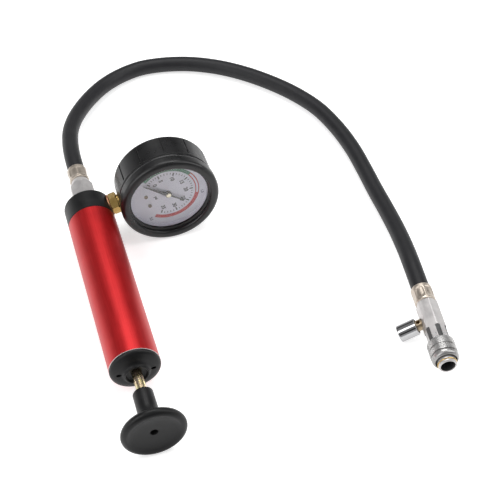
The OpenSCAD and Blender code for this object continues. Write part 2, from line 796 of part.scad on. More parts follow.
// Catmull-Rom point between p1 and p2
function between(p0, p1, p2, p3, t) = 0.5 * (2 * p1 + (p2 - p0) * t
    + (2 * p0 - 5 * p1 + 4 * p2 - p3) * t * t + (3 * p1 - p0 - 3 * p2 + p3) * t * t * t);

module hose() {
    out = [-sin(heading), -cos(heading), 0];
    mouth = [coupler_at[0], coupler_at[1], coupler_h];
    ends = concat([[0, hose_y - hose_inset, axis_h], [0, hose_y, axis_h]], route,
        [mouth, mouth + hose_inset * out]);
    n = len(ends);
    path = [for (i = [0:n - 2]) let (a = ends[max(i - 1, 0)], b = ends[i], c = ends[i + 1],
        d = ends[min(i + 2, n - 1)]) each (i == n - 2 ? [b, c] : [b, between(a, b, c, d, 0.5)])];
    side = [for (i = [0:len(path) - 1]) cross(tangent(path, i), [0, 0, 1])];
    color("#2c2c2f") translate([-x_mid, -y_mid, 0]) swept_tube(path, side, hose_r - 0.03, 12);
}

// ---- Coupler ----

// Local z runs along the coupler out of its mouth, from the hose's end, and y is up
module in_coupler() {
    translate([coupler_at[0] - x_mid, coupler_at[1] - y_mid, coupler_h])
        rotate([0, 0, -heading]) rotate([90, 0, 0]) children();
}

neck_r = coupler_af / 2 + 0.35;
spigot_r = 6.3;
hex_z = ferrule_l;
neck_z = hex_z + coupler_hex_l;
spigot_z = neck_z + coupler_neck_l;
sleeve_end = spigot_z + sleeve_l;
spigot_end = sleeve_end + 4;
land_l = 8;
land_front = sleeve_end - 3.2;
ring_t = 0.9;
ball_seat_z = land_front - 4;
lock_r = 1.5;
lock_balls_n = 6;
socket_floor = spigot_end - 20;
mouth_l = 7;
mouth_step = 0.4;
seal_cord = 0.9;
seal_z = socket_floor + 3.5;
vent_z = hex_z + coupler_hex_l * 0.64;

module coupler_ferrule() {
    color("#a99a83") in_coupler() translate([0, 0, ferrule_l]) mirror([0, 0, 1]) crimped_ferrule();
}

// Local z runs out of the vent valve, from the coupler's axis
module along_vent() {
    in_coupler() translate([0, 0, vent_z]) rotate([0, 0, 180 + vent_droop]) rotate([0, 90, 0]) children();
}

module coupler_body() {
    color("#b9b6b1") difference() {
        in_coupler() difference() {
            union() {
                translate([0, 0, hex_z]) mirror([0, 0, 1]) barbed_tail(0);
                translate([0, 0, hex_z]) rotate(180 + vent_droop + 30) hex_bar(coupler_af, coupler_hex_l);
                intersection() {
                    translate([0, 0, neck_z - 1]) rotate(180 + vent_droop + 30)
                        cylinder(r = coupler_af / 2 / cos(30), h = coupler_neck_l + 1, $fn = 6);
                    disc(neck_r, neck_z - 1, spigot_z);
                }
                disc(spigot_r, spigot_z - eps, spigot_end);
            }
            disc(tail_bore_r, hex_z - tail_l - 1, spigot_end);
            disc(socket_r, socket_floor, spigot_end + 1);
            disc(socket_r + mouth_step, spigot_end - mouth_l, spigot_end + 1);
            ring(socket_r + 2 * seal_cord - 0.6, 0, seal_z - seal_cord, seal_z + seal_cord);
            ring(spigot_r + 1, spigot_r - 0.5, land_front, land_front + ring_t);
            for (i = [0:lock_balls_n - 1]) rotate(i * 360 / lock_balls_n)
                translate([socket_r - 1, 0, ball_seat_z]) rotate([0, 90, 0])
                    cylinder(r = lock_r + 0.02, h = spigot_r, $fn = 32);
        }
        along_vent() {
            disc(2.1, 0, vent_post_z, $fn = 32);
            disc(vent_shank_r, vent_post_z, coupler_af);
        }
    }
}

module lock_balls() {
    color("#cfd2d4") in_coupler() for (i = [0:lock_balls_n - 1]) rotate(i * 360 / lock_balls_n)
        translate([spigot_r + 0.1 - lock_r, 0, ball_seat_z]) sphere(lock_r, $fn = 32);
}

module socket_o_ring() {
    color("#1d1d1e") in_coupler() o_ring(socket_r + seal_cord - 0.6, seal_cord, seal_z);
}

// The sleeve: knurled grip, smooth nose, a land that runs on the spigot and
// a counterbore in front that shows the ring
module coupler_sleeve() {
    land_r = spigot_r + 0.15;
    rear_r = neck_r + slide_fit;
    nose_z = sleeve_end - 5.6;
    mid = (spigot_z + nose_z) / 2;
    color("#aaa8a6") in_coupler() rotate_extrude() polygon(concat(
        [[rear_r, spigot_z], [sleeve_r - 0.6, spigot_z], [sleeve_r, spigot_z + 0.6], [sleeve_r, mid - 0.5],
        [sleeve_r - 0.5, mid - 0.3], [sleeve_r - 0.5, mid + 0.3], [sleeve_r, mid + 0.5], [sleeve_r, nose_z - 0.5],
        [sleeve_r - 0.6, nose_z - 0.3], [sleeve_r - 0.6, nose_z + 0.3], [sleeve_r - 0.2, nose_z + 0.7]],
        arc(sleeve_r - 1.8, sleeve_end - 1.2, 1.2, 30, 90, 4),
        [[spigot_r + 1.3, sleeve_end], [spigot_r + 1.3, land_front + ring_t / 2], [spigot_r + 1.3, land_front],
        [land_r, land_front], [land_r, land_front - land_l], [rear_r, land_front - land_l]]));
}

module sleeve_spring() {
    color("#a9adb0") in_coupler()
        coil_spring(spigot_r + 0.6, 0.4, spigot_z, land_front - land_l, 4, 16);
}

module sleeve_ring() {
    color("#c9a24d") in_coupler()
        ring(spigot_r + 0.8, spigot_r - 0.5, land_front + 0.02, land_front + ring_t);
}

// ---- Vent valve on the coupler ----

vent_post_z = 4;
vent_shank_r = 3;
vent_cap_z = vent_root + vent_gap;
post_top = vent_cap_z + 5.5;
cap_end = vent_cap_z + vent_l;
cap_wall = 0.8;
cap_floor = cap_end - 1.6;
pin_r = 1.2;
vent_travel = 2.5;

module vent_post() {
    color("#b8863b") along_vent() difference() {
        union() {
            disc(vent_shank_r, vent_post_z, vent_root + 0.1);
            disc(3.9, vent_root, vent_cap_z + 1);
            disc(4.6, vent_cap_z + 1, post_top);
        }
        disc(pin_r + run_fit, 0, post_top + 1, $fn = 32);
        disc(2.1, 0, vent_post_z + 1.2, $fn = 32);
        // cross hole that lets the air out
        translate([0, 0, vent_root + 2.1]) rotate([90, 0, 0]) cylinder(r = 1.5, h = 12, center = true, $fn = 32);
    }
}

module vent_cap() {
    color("#c6c8ca") along_vent() rotate_extrude() polygon(concat(
        [[vent_r - cap_wall, vent_cap_z], [vent_r - 0.3, vent_cap_z], [vent_r, vent_cap_z + 0.3]],
        arc(vent_r - 0.9, cap_end - 0.9, 0.9, 0, 90, 4),
        [[0, cap_end], [0, cap_floor], [vent_r - cap_wall, cap_floor]]));
}

// The plunger's pin hangs in the cap's floor and carries the seal at its inner end
module vent_plunger() {
    color("#b8863b") along_vent() {
        disc(pin_r, vent_post_z + 1 - 1.6, cap_floor, $fn = 32);
        disc(1.8, vent_post_z - 1.6, vent_post_z - 0.6, $fn = 32);
        disc(pin_r, vent_post_z - 1.6, vent_post_z, $fn = 32);
    }
}

module vent_seal() {
    color("#1d1d1e") along_vent() ring(1.9, pin_r, vent_post_z - 0.6, vent_post_z + 1.1, $fn = 32);
}

module vent_spring() {
    color("#a9adb0") along_vent() coil_spring(3.2, 0.35, post_top, cap_floor, 4);
}

barrel();
bottom_cap();
rod_guide();
end_buffer();
head_cap();
head_o_ring();
valve_seat();
valve_ball();
valve_spring();
outlet_fitting();
pump_ferrule();
rod();
knob();
knob_screw();
piston();
cup_seal();
cup_washer();
piston_nut();
gauge_stem();
stem_washer();
gauge_case();
gauge_boot();
lens();
lens_gasket();
dial();
dial_screws();
needle();
needle_hub();
pinion_arbor();
sector_gear();
movement_frame();
bourdon_tube();
tube_tip();
tip_link();
case_screws();
hose();
coupler_ferrule();
coupler_body();
coupler_sleeve();
sleeve_spring();
sleeve_ring();
lock_balls();
socket_o_ring();
vent_post();
vent_cap();
vent_plunger();
vent_seal();
vent_spring();
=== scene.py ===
"""The looks of a radiator pressure tester: a hand pump with a red barrel, a gauge in a
rubber boot, a rubber hose and a quick coupler with a vent valve."""

import json
import math

import bmesh
import bpy
from mathutils import Matrix, Vector

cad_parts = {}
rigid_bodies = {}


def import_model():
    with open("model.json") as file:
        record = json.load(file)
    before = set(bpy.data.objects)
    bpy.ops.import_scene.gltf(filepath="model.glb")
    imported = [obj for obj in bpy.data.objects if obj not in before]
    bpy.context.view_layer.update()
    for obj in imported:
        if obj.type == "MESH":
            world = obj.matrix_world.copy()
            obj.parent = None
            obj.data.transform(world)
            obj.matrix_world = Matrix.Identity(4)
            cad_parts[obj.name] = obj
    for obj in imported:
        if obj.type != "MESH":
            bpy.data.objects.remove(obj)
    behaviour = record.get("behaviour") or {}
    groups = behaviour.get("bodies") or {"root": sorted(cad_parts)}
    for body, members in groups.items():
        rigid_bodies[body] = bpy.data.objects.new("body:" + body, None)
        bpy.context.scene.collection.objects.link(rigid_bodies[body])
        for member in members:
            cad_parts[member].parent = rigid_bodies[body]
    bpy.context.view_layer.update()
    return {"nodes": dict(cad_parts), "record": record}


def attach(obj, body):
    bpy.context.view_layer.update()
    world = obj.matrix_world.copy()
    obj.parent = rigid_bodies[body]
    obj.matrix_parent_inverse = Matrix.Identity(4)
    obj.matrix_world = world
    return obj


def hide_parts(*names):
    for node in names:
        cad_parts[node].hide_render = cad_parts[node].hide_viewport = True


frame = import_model()
nodes = frame["nodes"]
scene = bpy.context.scene
scene.view_settings.view_transform = "Standard"


# ---- Places on the part, in millimetres, as the source has them ----

# the row frame's origin along and across the barrel, and the barrel's height
X_MID, Y_MID, AXIS_H = 36.93865, 73.25, 21.5
# the gauge: its tilt about the barrel, how far out it sits, and its stem's place
SWING, REACH, STEM_Y = 14.8697, 60.4, 153.5
KNOB_AT = -21
# the coupler: where its ferrule opens, its heading, and its vent's place and direction
COUPLER_X, COUPLER_Y, COUPLER_H, HEADING = 208.7, 13, 16.982, -8.2
VENT_AT, VENT_TURN = 28.52, 208


def shift(x, y, z):
    return Matrix.Translation((x, y, z))


def turn(degrees, axis):
    return Matrix.Rotation(math.radians(degrees), 4, axis)


METRES = Matrix.Scale(0.001, 4)
PUMP = METRES @ shift(-X_MID, -Y_MID, AXIS_H)
GAUGE = PUMP @ shift(0, STEM_Y, 0) @ turn(-SWING, "Y") @ shift(REACH, 0, 0) @ turn(90, "X")
KNOB = PUMP @ shift(0, KNOB_AT, 0) @ turn(90, "X")
COUPLER = (METRES @ shift(COUPLER_X - X_MID, COUPLER_Y - Y_MID, COUPLER_H)
           @ turn(HEADING, "Z") @ turn(90, "X"))
VENT = COUPLER @ shift(0, 0, VENT_AT) @ turn(VENT_TURN, "Z") @ turn(90, "Y")


def along_barrel(y):
    """A place on the barrel's axis, whose z runs from the knob's end toward the hose."""
    return PUMP @ shift(0, y, 0) @ turn(-90, "X")


# ---- Nodes ----


def calc(tree, operation, a, b=None):
    """A maths node's result. Each of a and b is a socket or a number."""
    node = tree.nodes.new("ShaderNodeMath")
    node.operation = operation
    for socket, value in zip(node.inputs, (a, b)):
        if isinstance(value, (int, float)):
            socket.default_value = value
        elif value is not None:
            tree.links.new(value, socket)
    return node.outputs[0]


# ---- Camera ----


def place_camera():
    """The camera of the photograph, as solved from it."""
    camera = bpy.data.objects.new("camera", bpy.data.cameras.new("camera"))
    scene.collection.objects.link(camera)
    camera.data.sensor_width = 36
    camera.data.lens = 81.04
    camera.data.clip_start = 0.01
    camera.data.clip_end = 20
    stands = Vector((-0.100784, -0.541806, 0.597998))
    looks_at = Vector((0.066791, 0.008176, 0.0215))
    camera.location = stands
    camera.rotation_euler = (looks_at - stands).to_track_quat("-Z", "Y").to_euler()
    scene.camera = camera


place_camera()


# ---- Stage and light ----

FLOOR_HALF, FLOOR_GLOW = 3.0, 0.62


def set_the_stage():
    """A white floor that keeps the object's shadow."""
    mesh = bpy.data.meshes.new("floor")
    half = FLOOR_HALF
    mesh.from_pydata([(-half, -half, 0), (half, -half, 0), (half, half, 0), (-half, half, 0)],
                     [], [(0, 1, 2, 3)])
    floor = bpy.data.objects.new("floor", mesh)
    scene.collection.objects.link(floor)
    paper = bpy.data.materials.new("floor_paper")
    paper.use_nodes = True
    tree = paper.node_tree
    shader = tree.nodes["Principled BSDF"]
    shader.inputs["Base Color"].default_value = (0.8, 0.8, 0.8, 1)
    shader.inputs["Roughness"].default_value = 0.9
    shader.inputs["Specular IOR Level"].default_value = 0.1
    # the camera, metal and glass see a paper that is white where no shadow falls on it
    light_path = tree.nodes.new("ShaderNodeLightPath")
    seen = light_path.outputs["Is Camera Ray"]
    for ray in ("Is Glossy Ray", "Is Transmission Ray"):
        seen = calc(tree, "MAXIMUM", seen, light_path.outputs[ray])
    shader.inputs["Emission Color"].default_value = (1, 1, 1, 1)
    tree.links.new(calc(tree, "MULTIPLY", seen, FLOOR_GLOW), shader.inputs["Emission Strength"])
    mesh.materials.append(paper)


def soft_box(name, place, aim, wide, tall, watts):
    """A rectangular lamp, placed and aimed in metres."""
    lamp = bpy.data.lights.new(name, "AREA")
    lamp.shape = "RECTANGLE"
    lamp.size = wide
    lamp.size_y = tall
    lamp.energy = watts
    box = bpy.data.objects.new(name, lamp)
    scene.collection.objects.link(box)
    box.location = place
    box.rotation_euler = (Vector(aim) - Vector(place)).to_track_quat("-Z", "Y").to_euler()


# height on the sphere round the object, where 0 is level and 1 is overhead, and its grey
WALL_TONES = ((0.0, 0.55), (0.28, 0.5), (0.36, 0.03), (0.5, 0.03), (0.6, 0.3), (1.0, 0.42))


def light_the_room():
    world = bpy.data.worlds.new("studio")
    scene.world = world
    world.use_nodes = True
    tree = world.node_tree
    ground = tree.nodes["Background"]
    ground.inputs["Strength"].default_value = 1.0
    # pale walls and ceiling with a dark band between them, which metal shows as a streak
    direction = tree.nodes.new("ShaderNodeTexCoord")
    parts = tree.nodes.new("ShaderNodeSeparateXYZ")
    tone = tree.nodes.new("ShaderNodeValToRGB")
    stops = tone.color_ramp
    while len(stops.elements) < len(WALL_TONES):
        stops.elements.new(0.5)
    for stop, (height, grey) in zip(stops.elements, WALL_TONES):
        stop.position = height
        stop.color = (grey, grey, grey * 1.01, 1)
    tree.links.new(direction.outputs["Generated"], parts.inputs[0])
    tree.links.new(parts.outputs["Z"], tone.inputs["Fac"])
    tree.links.new(tone.outputs["Color"], ground.inputs["Color"])
    soft_box("left_box", (-0.9, -0.2, 0.75), (0, 0, 0.02), 0.5, 1.2, 6.5)
    soft_box("right_box", (0.95, -0.1, 0.8), (0.1, 0, 0.02), 0.5, 1.2, 5.5)
    soft_box("top_box", (0.15, 0.55, 1.15), (0.05, 0, 0.02), 0.9, 0.5, 7)


set_the_stage()
light_the_room()


# ---- Effects that several finishes share ----


def effect(name, inputs, outputs):
    """An empty shader node group, and its input and output nodes."""
    tree = bpy.data.node_groups.new(name, "ShaderNodeTree")
    for label, value in inputs.items():
        socket = tree.interface.new_socket(label, in_out="INPUT", socket_type="NodeSocketFloat")
        socket.default_value = value
    for label in outputs:
        tree.interface.new_socket(label, in_out="OUTPUT", socket_type="NodeSocketFloat")
    return tree, tree.nodes.new("NodeGroupInput"), tree.nodes.new("NodeGroupOutput")


def object_place(tree):
    return tree.nodes.new("ShaderNodeTexCoord").outputs["Object"]


def noise(tree, place, scale, detail, rough=0.55):
    """A noise's value. Its scale is a socket or a number."""
    node = tree.nodes.new("ShaderNodeTexNoise")
    node.inputs["Detail"].default_value = detail
    node.inputs["Roughness"].default_value = rough
    if isinstance(scale, (int, float)):
        node.inputs["Scale"].default_value = scale
    else:
        tree.links.new(scale, node.inputs["Scale"])
    tree.links.new(place, node.inputs["Vector"])
    return node.outputs["Fac"]


def ramp(tree, value, low, high, to_low=0.0, to_high=1.0):
    """A value carried from one range to another, and held at its ends."""
    node = tree.nodes.new("ShaderNodeMapRange")
    node.inputs["From Min"].default_value = low
    node.inputs["From Max"].default_value = high
    node.inputs["To Min"].default_value = to_low
    node.inputs["To Max"].default_value = to_high
    tree.links.new(value, node.inputs["Value"])
    return node.outputs["Result"]


def build_grain():
    """Fine grain as a height, and slow mottling as a mask. Size is a grain's, in millimetres."""
    tree, given, out = effect("grain", {"Size": 0.3}, ["Height", "Mottle"])
    place = object_place(tree)
    scale = calc(tree, "DIVIDE", 1000.0, given.outputs["Size"])
    fine = noise(tree, place, scale, 3.0)
    slow = noise(tree, place, calc(tree, "MULTIPLY", scale, 0.03), 5.0, 0.65)
    tree.links.new(fine, out.inputs["Height"])
    tree.links.new(ramp(tree, slow, 0.35, 0.65), out.inputs["Mottle"])
    return tree


def build_edge_wear():
    """A mask that is 1 on rubbed outer edges. Reach is how far in from the edge it goes, in
    millimetres."""
    tree, given, out = effect("edge_wear", {"Reach": 0.3, "Patches": 0.6}, ["Mask"])
    rounded = tree.nodes.new("ShaderNodeBevel")
    rounded.samples = 4
    tree.links.new(calc(tree, "DIVIDE", given.outputs["Reach"], 1000.0), rounded.inputs["Radius"])
    flat = tree.nodes.new("ShaderNodeNewGeometry")
    along = tree.nodes.new("ShaderNodeVectorMath")
    along.operation = "DOT_PRODUCT"
    tree.links.new(rounded.outputs[0], along.inputs[0])
    tree.links.new(flat.outputs["Normal"], along.inputs[1])
    edge = ramp(tree, along.outputs["Value"], 0.995, 0.93)
    place = object_place(tree)
    patches = ramp(tree, noise(tree, place, 260.0, 4.0), 0.38, 0.6)
    kept = calc(tree, "ADD", calc(tree, "MULTIPLY", patches, given.outputs["Patches"]),
                calc(tree, "SUBTRACT", 1.0, given.outputs["Patches"]))
    tree.links.new(calc(tree, "MULTIPLY", edge, kept), out.inputs["Mask"])
    return tree


def build_drawn_lines():
    """Fine lines that run round or along a turned or drawn piece, as a height. The lines run
    square to the direction that the vector's X is stretched in."""
    tree = bpy.data.node_groups.new("drawn_lines", "ShaderNodeTree")
    tree.interface.new_socket("Vector", in_out="INPUT", socket_type="NodeSocketVector")
    scale = tree.interface.new_socket("Scale", in_out="INPUT", socket_type="NodeSocketFloat")
    scale.default_value = 3000
    tree.interface.new_socket("Height", in_out="OUTPUT", socket_type="NodeSocketFloat")
    given, out = tree.nodes.new("NodeGroupInput"), tree.nodes.new("NodeGroupOutput")
    lines = noise(tree, given.outputs["Vector"], given.outputs["Scale"], 2.0, 0.7)
    tree.links.new(lines, out.inputs["Height"])
    return tree


grain = build_grain()
edge_wear = build_edge_wear()
drawn_lines = build_drawn_lines()


def put(tree, group, **values):
    """A node of a group, with its plain inputs set."""
    node = tree.nodes.new("ShaderNodeGroup")
    node.node_tree = group
    for label, value in values.items():
        node.inputs[label].default_value = value
    return node


def two_tone(tree, factor, dark, light):
    """A mix of two colours. Each is a tuple or a socket."""
    node = tree.nodes.new("ShaderNodeMix")
    node.data_type = "RGBA"
    for label, colour in (("A", dark), ("B", light)):
        if isinstance(colour, tuple):
            node.inputs[label].default_value = (*colour, 1)
        else:
            tree.links.new(colour, node.inputs[label])
    tree.links.new(factor, node.inputs["Factor"])
    return node.outputs["Result"]


def bumped(tree, shader, height, strength, depth_mm, round_mm=0.0):
    """Drives the shader's normal from a height, over edges rounded by round_mm."""
    bump = tree.nodes.new("ShaderNodeBump")
    bump.inputs["Strength"].default_value = strength
    bump.inputs["Distance"].default_value = depth_mm / 1000
    tree.links.new(height, bump.inputs["Height"])
    if round_mm:
        rounded = tree.nodes.new("ShaderNodeBevel")
        rounded.samples = 4
        rounded.inputs["Radius"].default_value = round_mm / 1000
        tree.links.new(rounded.outputs[0], bump.inputs["Normal"])
    tree.links.new(bump.outputs[0], shader.inputs["Normal"])


def new_finish(name, metallic=0.0, **sockets):
    """A material, its tree and its shader. Sockets are written with _ for a space."""
    material = bpy.data.materials.new(name)
    material.use_nodes = True
    shader = material.node_tree.nodes["Principled BSDF"]
    shader.inputs["Metallic"].default_value = metallic
    for label, value in sockets.items():
        shader.inputs[label.replace("_", " ")].default_value = value
    return material, material.node_tree, shader


def moulded(name, dark, light, rough, size, depth, worn=None, round_mm=0.25, gloss=0.5):
    """Moulded plastic or rubber: mottled in tone and gloss, with a fine grain and rubbed edges."""
    material, tree, shader = new_finish(name, Specular_IOR_Level=gloss)
    surface = put(tree, grain, Size=size)
    tone = two_tone(tree, surface.outputs["Mottle"], dark, light)
    if worn:
        rub = put(tree, edge_wear, Reach=0.5, Patches=0.7)
        tone = two_tone(tree, calc(tree, "MULTIPLY", rub.outputs["Mask"], 0.5), tone, worn)
    tree.links.new(tone, shader.inputs["Base Color"])
    tree.links.new(ramp(tree, surface.outputs["Mottle"], 0, 1, rough - 0.05, rough + 0.05),
                   shader.inputs["Roughness"])
    bumped(tree, shader, surface.outputs["Height"], 0.35, depth, round_mm)
    return material


def plated(name, dark, light, rough, depth=0.01, worn=None, round_mm=0.2, metallic=1.0):
    """Bare or plated metal: tone and gloss vary a little, and edges are rubbed bright."""
    material, tree, shader = new_finish(name, metallic=metallic)
    surface = put(tree, grain, Size=0.25)
    tone = two_tone(tree, surface.outputs["Mottle"], dark, light)
    if worn:
        rub = put(tree, edge_wear, Reach=0.35, Patches=0.5)
        tone = two_tone(tree, calc(tree, "MULTIPLY", rub.outputs["Mask"], 0.6), tone, worn)
    tree.links.new(tone, shader.inputs["Base Color"])
    tree.links.new(ramp(tree, surface.outputs["Mottle"], 0, 1, rough * 0.8, rough * 1.2),
                   shader.inputs["Roughness"])
    bumped(tree, shader, surface.outputs["Height"], 0.25, depth, round_mm)
    return material


# ---- Finishes ----

# how far bare metal shows at the barrel's knob end, in millimetres
BARE_END = 0.45


def red_anodised():
    """Anodised aluminium tube: fine lines drawn along the barrel under a satin seal."""
    material, tree, shader = new_finish("red_anodised", metallic=0.7, Coat_Weight=0.15,
                                        Coat_Roughness=0.3)
    place = object_place(tree)
    stretch = tree.nodes.new("ShaderNodeMapping")
    stretch.inputs["Scale"].default_value = (1, 0.01, 1)
    tree.links.new(place, stretch.inputs["Vector"])
    lines = put(tree, drawn_lines, Scale=2600)
    tree.links.new(stretch.outputs[0], lines.inputs["Vector"])
    surface = put(tree, grain, Size=0.5)
    tone = two_tone(tree, surface.outputs["Mottle"], (0.43, 0.003, 0.005), (0.5, 0.006, 0.008))
    streak = calc(tree, "MULTIPLY", ramp(tree, lines.outputs["Height"], 0.35, 0.7), 0.35)
    tone = two_tone(tree, streak, tone, (0.7, 0.03, 0.035))
    # the tube's knob end is cut after the colour, and shows bare metal
    parts = tree.nodes.new("ShaderNodeSeparateXYZ")
    tree.links.new(place, parts.inputs[0])
    cut = (-Y_MID + BARE_END) / 1000
    bare = ramp(tree, parts.outputs["Y"], cut + 0.00005, cut - 0.00005)
    tone = two_tone(tree, bare, tone, (0.75, 0.72, 0.71))
    tree.links.new(tone, shader.inputs["Base Color"])
    tree.links.new(ramp(tree, lines.outputs["Height"], 0.3, 0.7, 0.36, 0.46),
                   shader.inputs["Roughness"])
    bumped(tree, shader, lines.outputs["Height"], 0.2, 0.01, 0.2)
    return material


def zinc_plated():
    """Yellow zinc plate, whose tint drifts from straw to pink and green."""
    material, tree, shader = new_finish("zinc_plated", metallic=1.0)
    place = object_place(tree)
    drift = ramp(tree, noise(tree, place, 240.0, 3.0), 0.38, 0.62)
    tint = two_tone(tree, drift, (0.62, 0.53, 0.28), (0.62, 0.47, 0.38))
    green = ramp(tree, noise(tree, place, 410.0, 2.0), 0.55, 0.7, 0, 0.6)
    tint = two_tone(tree, green, tint, (0.46, 0.5, 0.3))
    tree.links.new(tint, shader.inputs["Base Color"])
    surface = put(tree, grain, Size=0.2)
    tree.links.new(ramp(tree, surface.outputs["Mottle"], 0, 1, 0.2, 0.34),
                   shader.inputs["Roughness"])
    bumped(tree, shader, surface.outputs["Height"], 0.2, 0.01, 0.15)
    return material


def clear_lens():
    """Clear glass that casts no shadow on the dial."""
    material, tree, shader = new_finish("clear_lens", Roughness=0.02, IOR=1.45)
    shader.inputs["Base Color"].default_value = (1, 1, 1, 1)
    shader.inputs["Transmission Weight"].default_value = 1.0
    surface = put(tree, grain, Size=1.5)
    bumped(tree, shader, surface.outputs["Mottle"], 0.03, 0.01)
    clear = tree.nodes.new("ShaderNodeBsdfTransparent")
    light_path = tree.nodes.new("ShaderNodeLightPath")
    through = tree.nodes.new("ShaderNodeMixShader")
    tree.links.new(light_path.outputs["Is Shadow Ray"], through.inputs["Fac"])
    tree.links.new(shader.outputs[0], through.inputs[1])
    tree.links.new(clear.outputs[0], through.inputs[2])
    tree.links.new(through.outputs[0], tree.nodes["Material Output"].inputs["Surface"])
    return material


def enamelled_dial():
    """Printed enamel with a faint orange-peel and a lavender cast."""
    material, tree, shader = new_finish("enamelled_dial")
    surface = put(tree, grain, Size=0.35)
    tone = two_tone(tree, surface.outputs["Mottle"], (0.66, 0.66, 0.74), (0.72, 0.72, 0.8))
    tree.links.new(tone, shader.inputs["Base Color"])
    tree.links.new(ramp(tree, surface.outputs["Mottle"], 0, 1, 0.42, 0.52),
                   shader.inputs["Roughness"])
    bumped(tree, shader, surface.outputs["Height"], 0.15, 0.01)
    return material


def ink(name, dark, light):
    """A printed colour, a little uneven."""
    material, tree, shader = new_finish(name)
    surface = put(tree, grain, Size=0.2)
    tree.links.new(two_tone(tree, surface.outputs["Mottle"], dark, light),
                   shader.inputs["Base Color"])
    tree.links.new(ramp(tree, surface.outputs["Height"], 0.3, 0.7, 0.45, 0.6),
                   shader.inputs["Roughness"])
    return material


def hose_cover():
    """Smooth black hose rubber: faint lengthwise flow marks from the die, and a little bloom."""
    material, tree, shader = new_finish("hose_cover", Specular_IOR_Level=0.35)
    along = tree.nodes.new("ShaderNodeUVMap")
    along.uv_map = "along_hose"
    stretch = tree.nodes.new("ShaderNodeMapping")
    stretch.inputs["Scale"].default_value = (60, 3, 1)
    tree.links.new(along.outputs[0], stretch.inputs["Vector"])
    flow = noise(tree, stretch.outputs[0], 1.0, 3.0)
    surface = put(tree, grain, Size=0.25)
    bloom = calc(tree, "MULTIPLY", surface.outputs["Mottle"], 0.6)
    tree.links.new(two_tone(tree, bloom, (0.009, 0.009, 0.011), (0.016, 0.016, 0.018)),
                   shader.inputs["Base Color"])
    tree.links.new(ramp(tree, flow, 0.3, 0.7, 0.46, 0.58), shader.inputs["Roughness"])
    height = calc(tree, "ADD", surface.outputs["Height"], calc(tree, "MULTIPLY", flow, 0.8))
    bumped(tree, shader, height, 0.3, 0.03)
    return material


RED = red_anodised()
BLACK_PLASTIC = moulded("black_plastic", (0.007, 0.007, 0.0075), (0.011, 0.011, 0.0115), 0.4, 0.35,
                        0.02, worn=(0.04, 0.04, 0.04), gloss=0.24)
GREY_PLASTIC = moulded("grey_plastic", (0.05, 0.05, 0.053), (0.07, 0.07, 0.073), 0.5, 0.3, 0.02)
BOOT_RUBBER = moulded("boot_rubber", (0.008, 0.008, 0.0085), (0.012, 0.012, 0.0125), 0.3, 0.4,
                      0.03, worn=(0.045, 0.045, 0.046), round_mm=0.4, gloss=0.38)
SEAL_RUBBER = moulded("seal_rubber", (0.01, 0.01, 0.011), (0.018, 0.018, 0.019), 0.55, 0.3, 0.03)
HOSE_RUBBER = hose_cover()
NICKEL = plated("satin_nickel", (0.56, 0.54, 0.535), (0.66, 0.64, 0.63), 0.4, metallic=0.6,
                worn=(0.74, 0.72, 0.7), round_mm=0.12)
FERRULE_NICKEL = plated("warm_nickel", (0.46, 0.4, 0.335), (0.58, 0.51, 0.435), 0.34, metallic=0.75,
                        worn=(0.7, 0.63, 0.54), round_mm=0.12)
SLEEVE_NICKEL = plated("knurled_nickel", (0.32, 0.315, 0.31), (0.42, 0.415, 0.41), 0.3,
                       metallic=0.7, round_mm=0)
# a near-black finish that paints shade into the coupler's bore, its counterbore and its neck's
# turned-off corners
PAINTED_SHADE = moulded("painted_shade_metal", (0.05, 0.05, 0.05), (0.08, 0.08, 0.08), 0.5, 0.25, 0.01)
BRASS = plated("turned_brass", (0.55, 0.36, 0.11), (0.7, 0.49, 0.19), 0.24)
# darker brass: dull brass on the vent's post, and painted shade on the sleeve's ring deep in the
# gap at the mouth
DULL_BRASS_AND_SHADE = plated("dull_brass_and_painted_shade", (0.3, 0.23, 0.15), (0.42, 0.34, 0.24), 0.34)
AGED_BRASS = plated("aged_brass", (0.1, 0.075, 0.045), (0.17, 0.13, 0.085), 0.4)
PALE_BRASS = plated("pale_brass", (0.62, 0.57, 0.42), (0.74, 0.69, 0.54), 0.3)
STEEL = plated("bright_steel", (0.52, 0.53, 0.54), (0.68, 0.69, 0.7), 0.28)
ZINC = zinc_plated()
CHROME = plated("polished_chrome", (0.43, 0.43, 0.435), (0.48, 0.48, 0.485), 0.08, depth=0.003)
ENAMEL = moulded("black_enamel", (0.02, 0.02, 0.02), (0.035, 0.035, 0.035), 0.35, 0.3, 0.01)
ALUMINIUM = plated("turned_aluminium", (0.66, 0.67, 0.68), (0.78, 0.79, 0.8), 0.3)
DIAL = enamelled_dial()
LENS = clear_lens()
NEEDLE = moulded("needle_enamel", (0.012, 0.012, 0.012), (0.02, 0.02, 0.02), 0.4, 0.2, 0.005)
COPPER = plated("soft_copper", (0.5, 0.24, 0.13), (0.62, 0.32, 0.18), 0.3)
BLACK_INK = ink("black_ink", (0.004, 0.004, 0.006), (0.01, 0.01, 0.014))
GREY_INK = ink("grey_ink", (0.13, 0.11, 0.19), (0.18, 0.16, 0.25))
RED_INK = ink("red_ink", (0.44, 0.014, 0.02), (0.5, 0.022, 0.028))
GREEN_INK = ink("green_ink", (0.015, 0.15, 0.07), (0.025, 0.2, 0.1))

SLOT_FINISH = {
    "red_barrel": RED, "black_plastic": BLACK_PLASTIC, "grey_plastic": GREY_PLASTIC,
    "black_rubber": SEAL_RUBBER, "hose_rubber": HOSE_RUBBER, "nickel": NICKEL,
    "ferrule_nickel": FERRULE_NICKEL, "brass": BRASS, "steel": STEEL, "zinc_steel": ZINC,
    "chrome": CHROME, "case_steel": ENAMEL, "aluminium": ALUMINIUM, "dial_face": DIAL,
    "lens_clear": LENS, "needle_black": NEEDLE, "copper": COPPER,
}
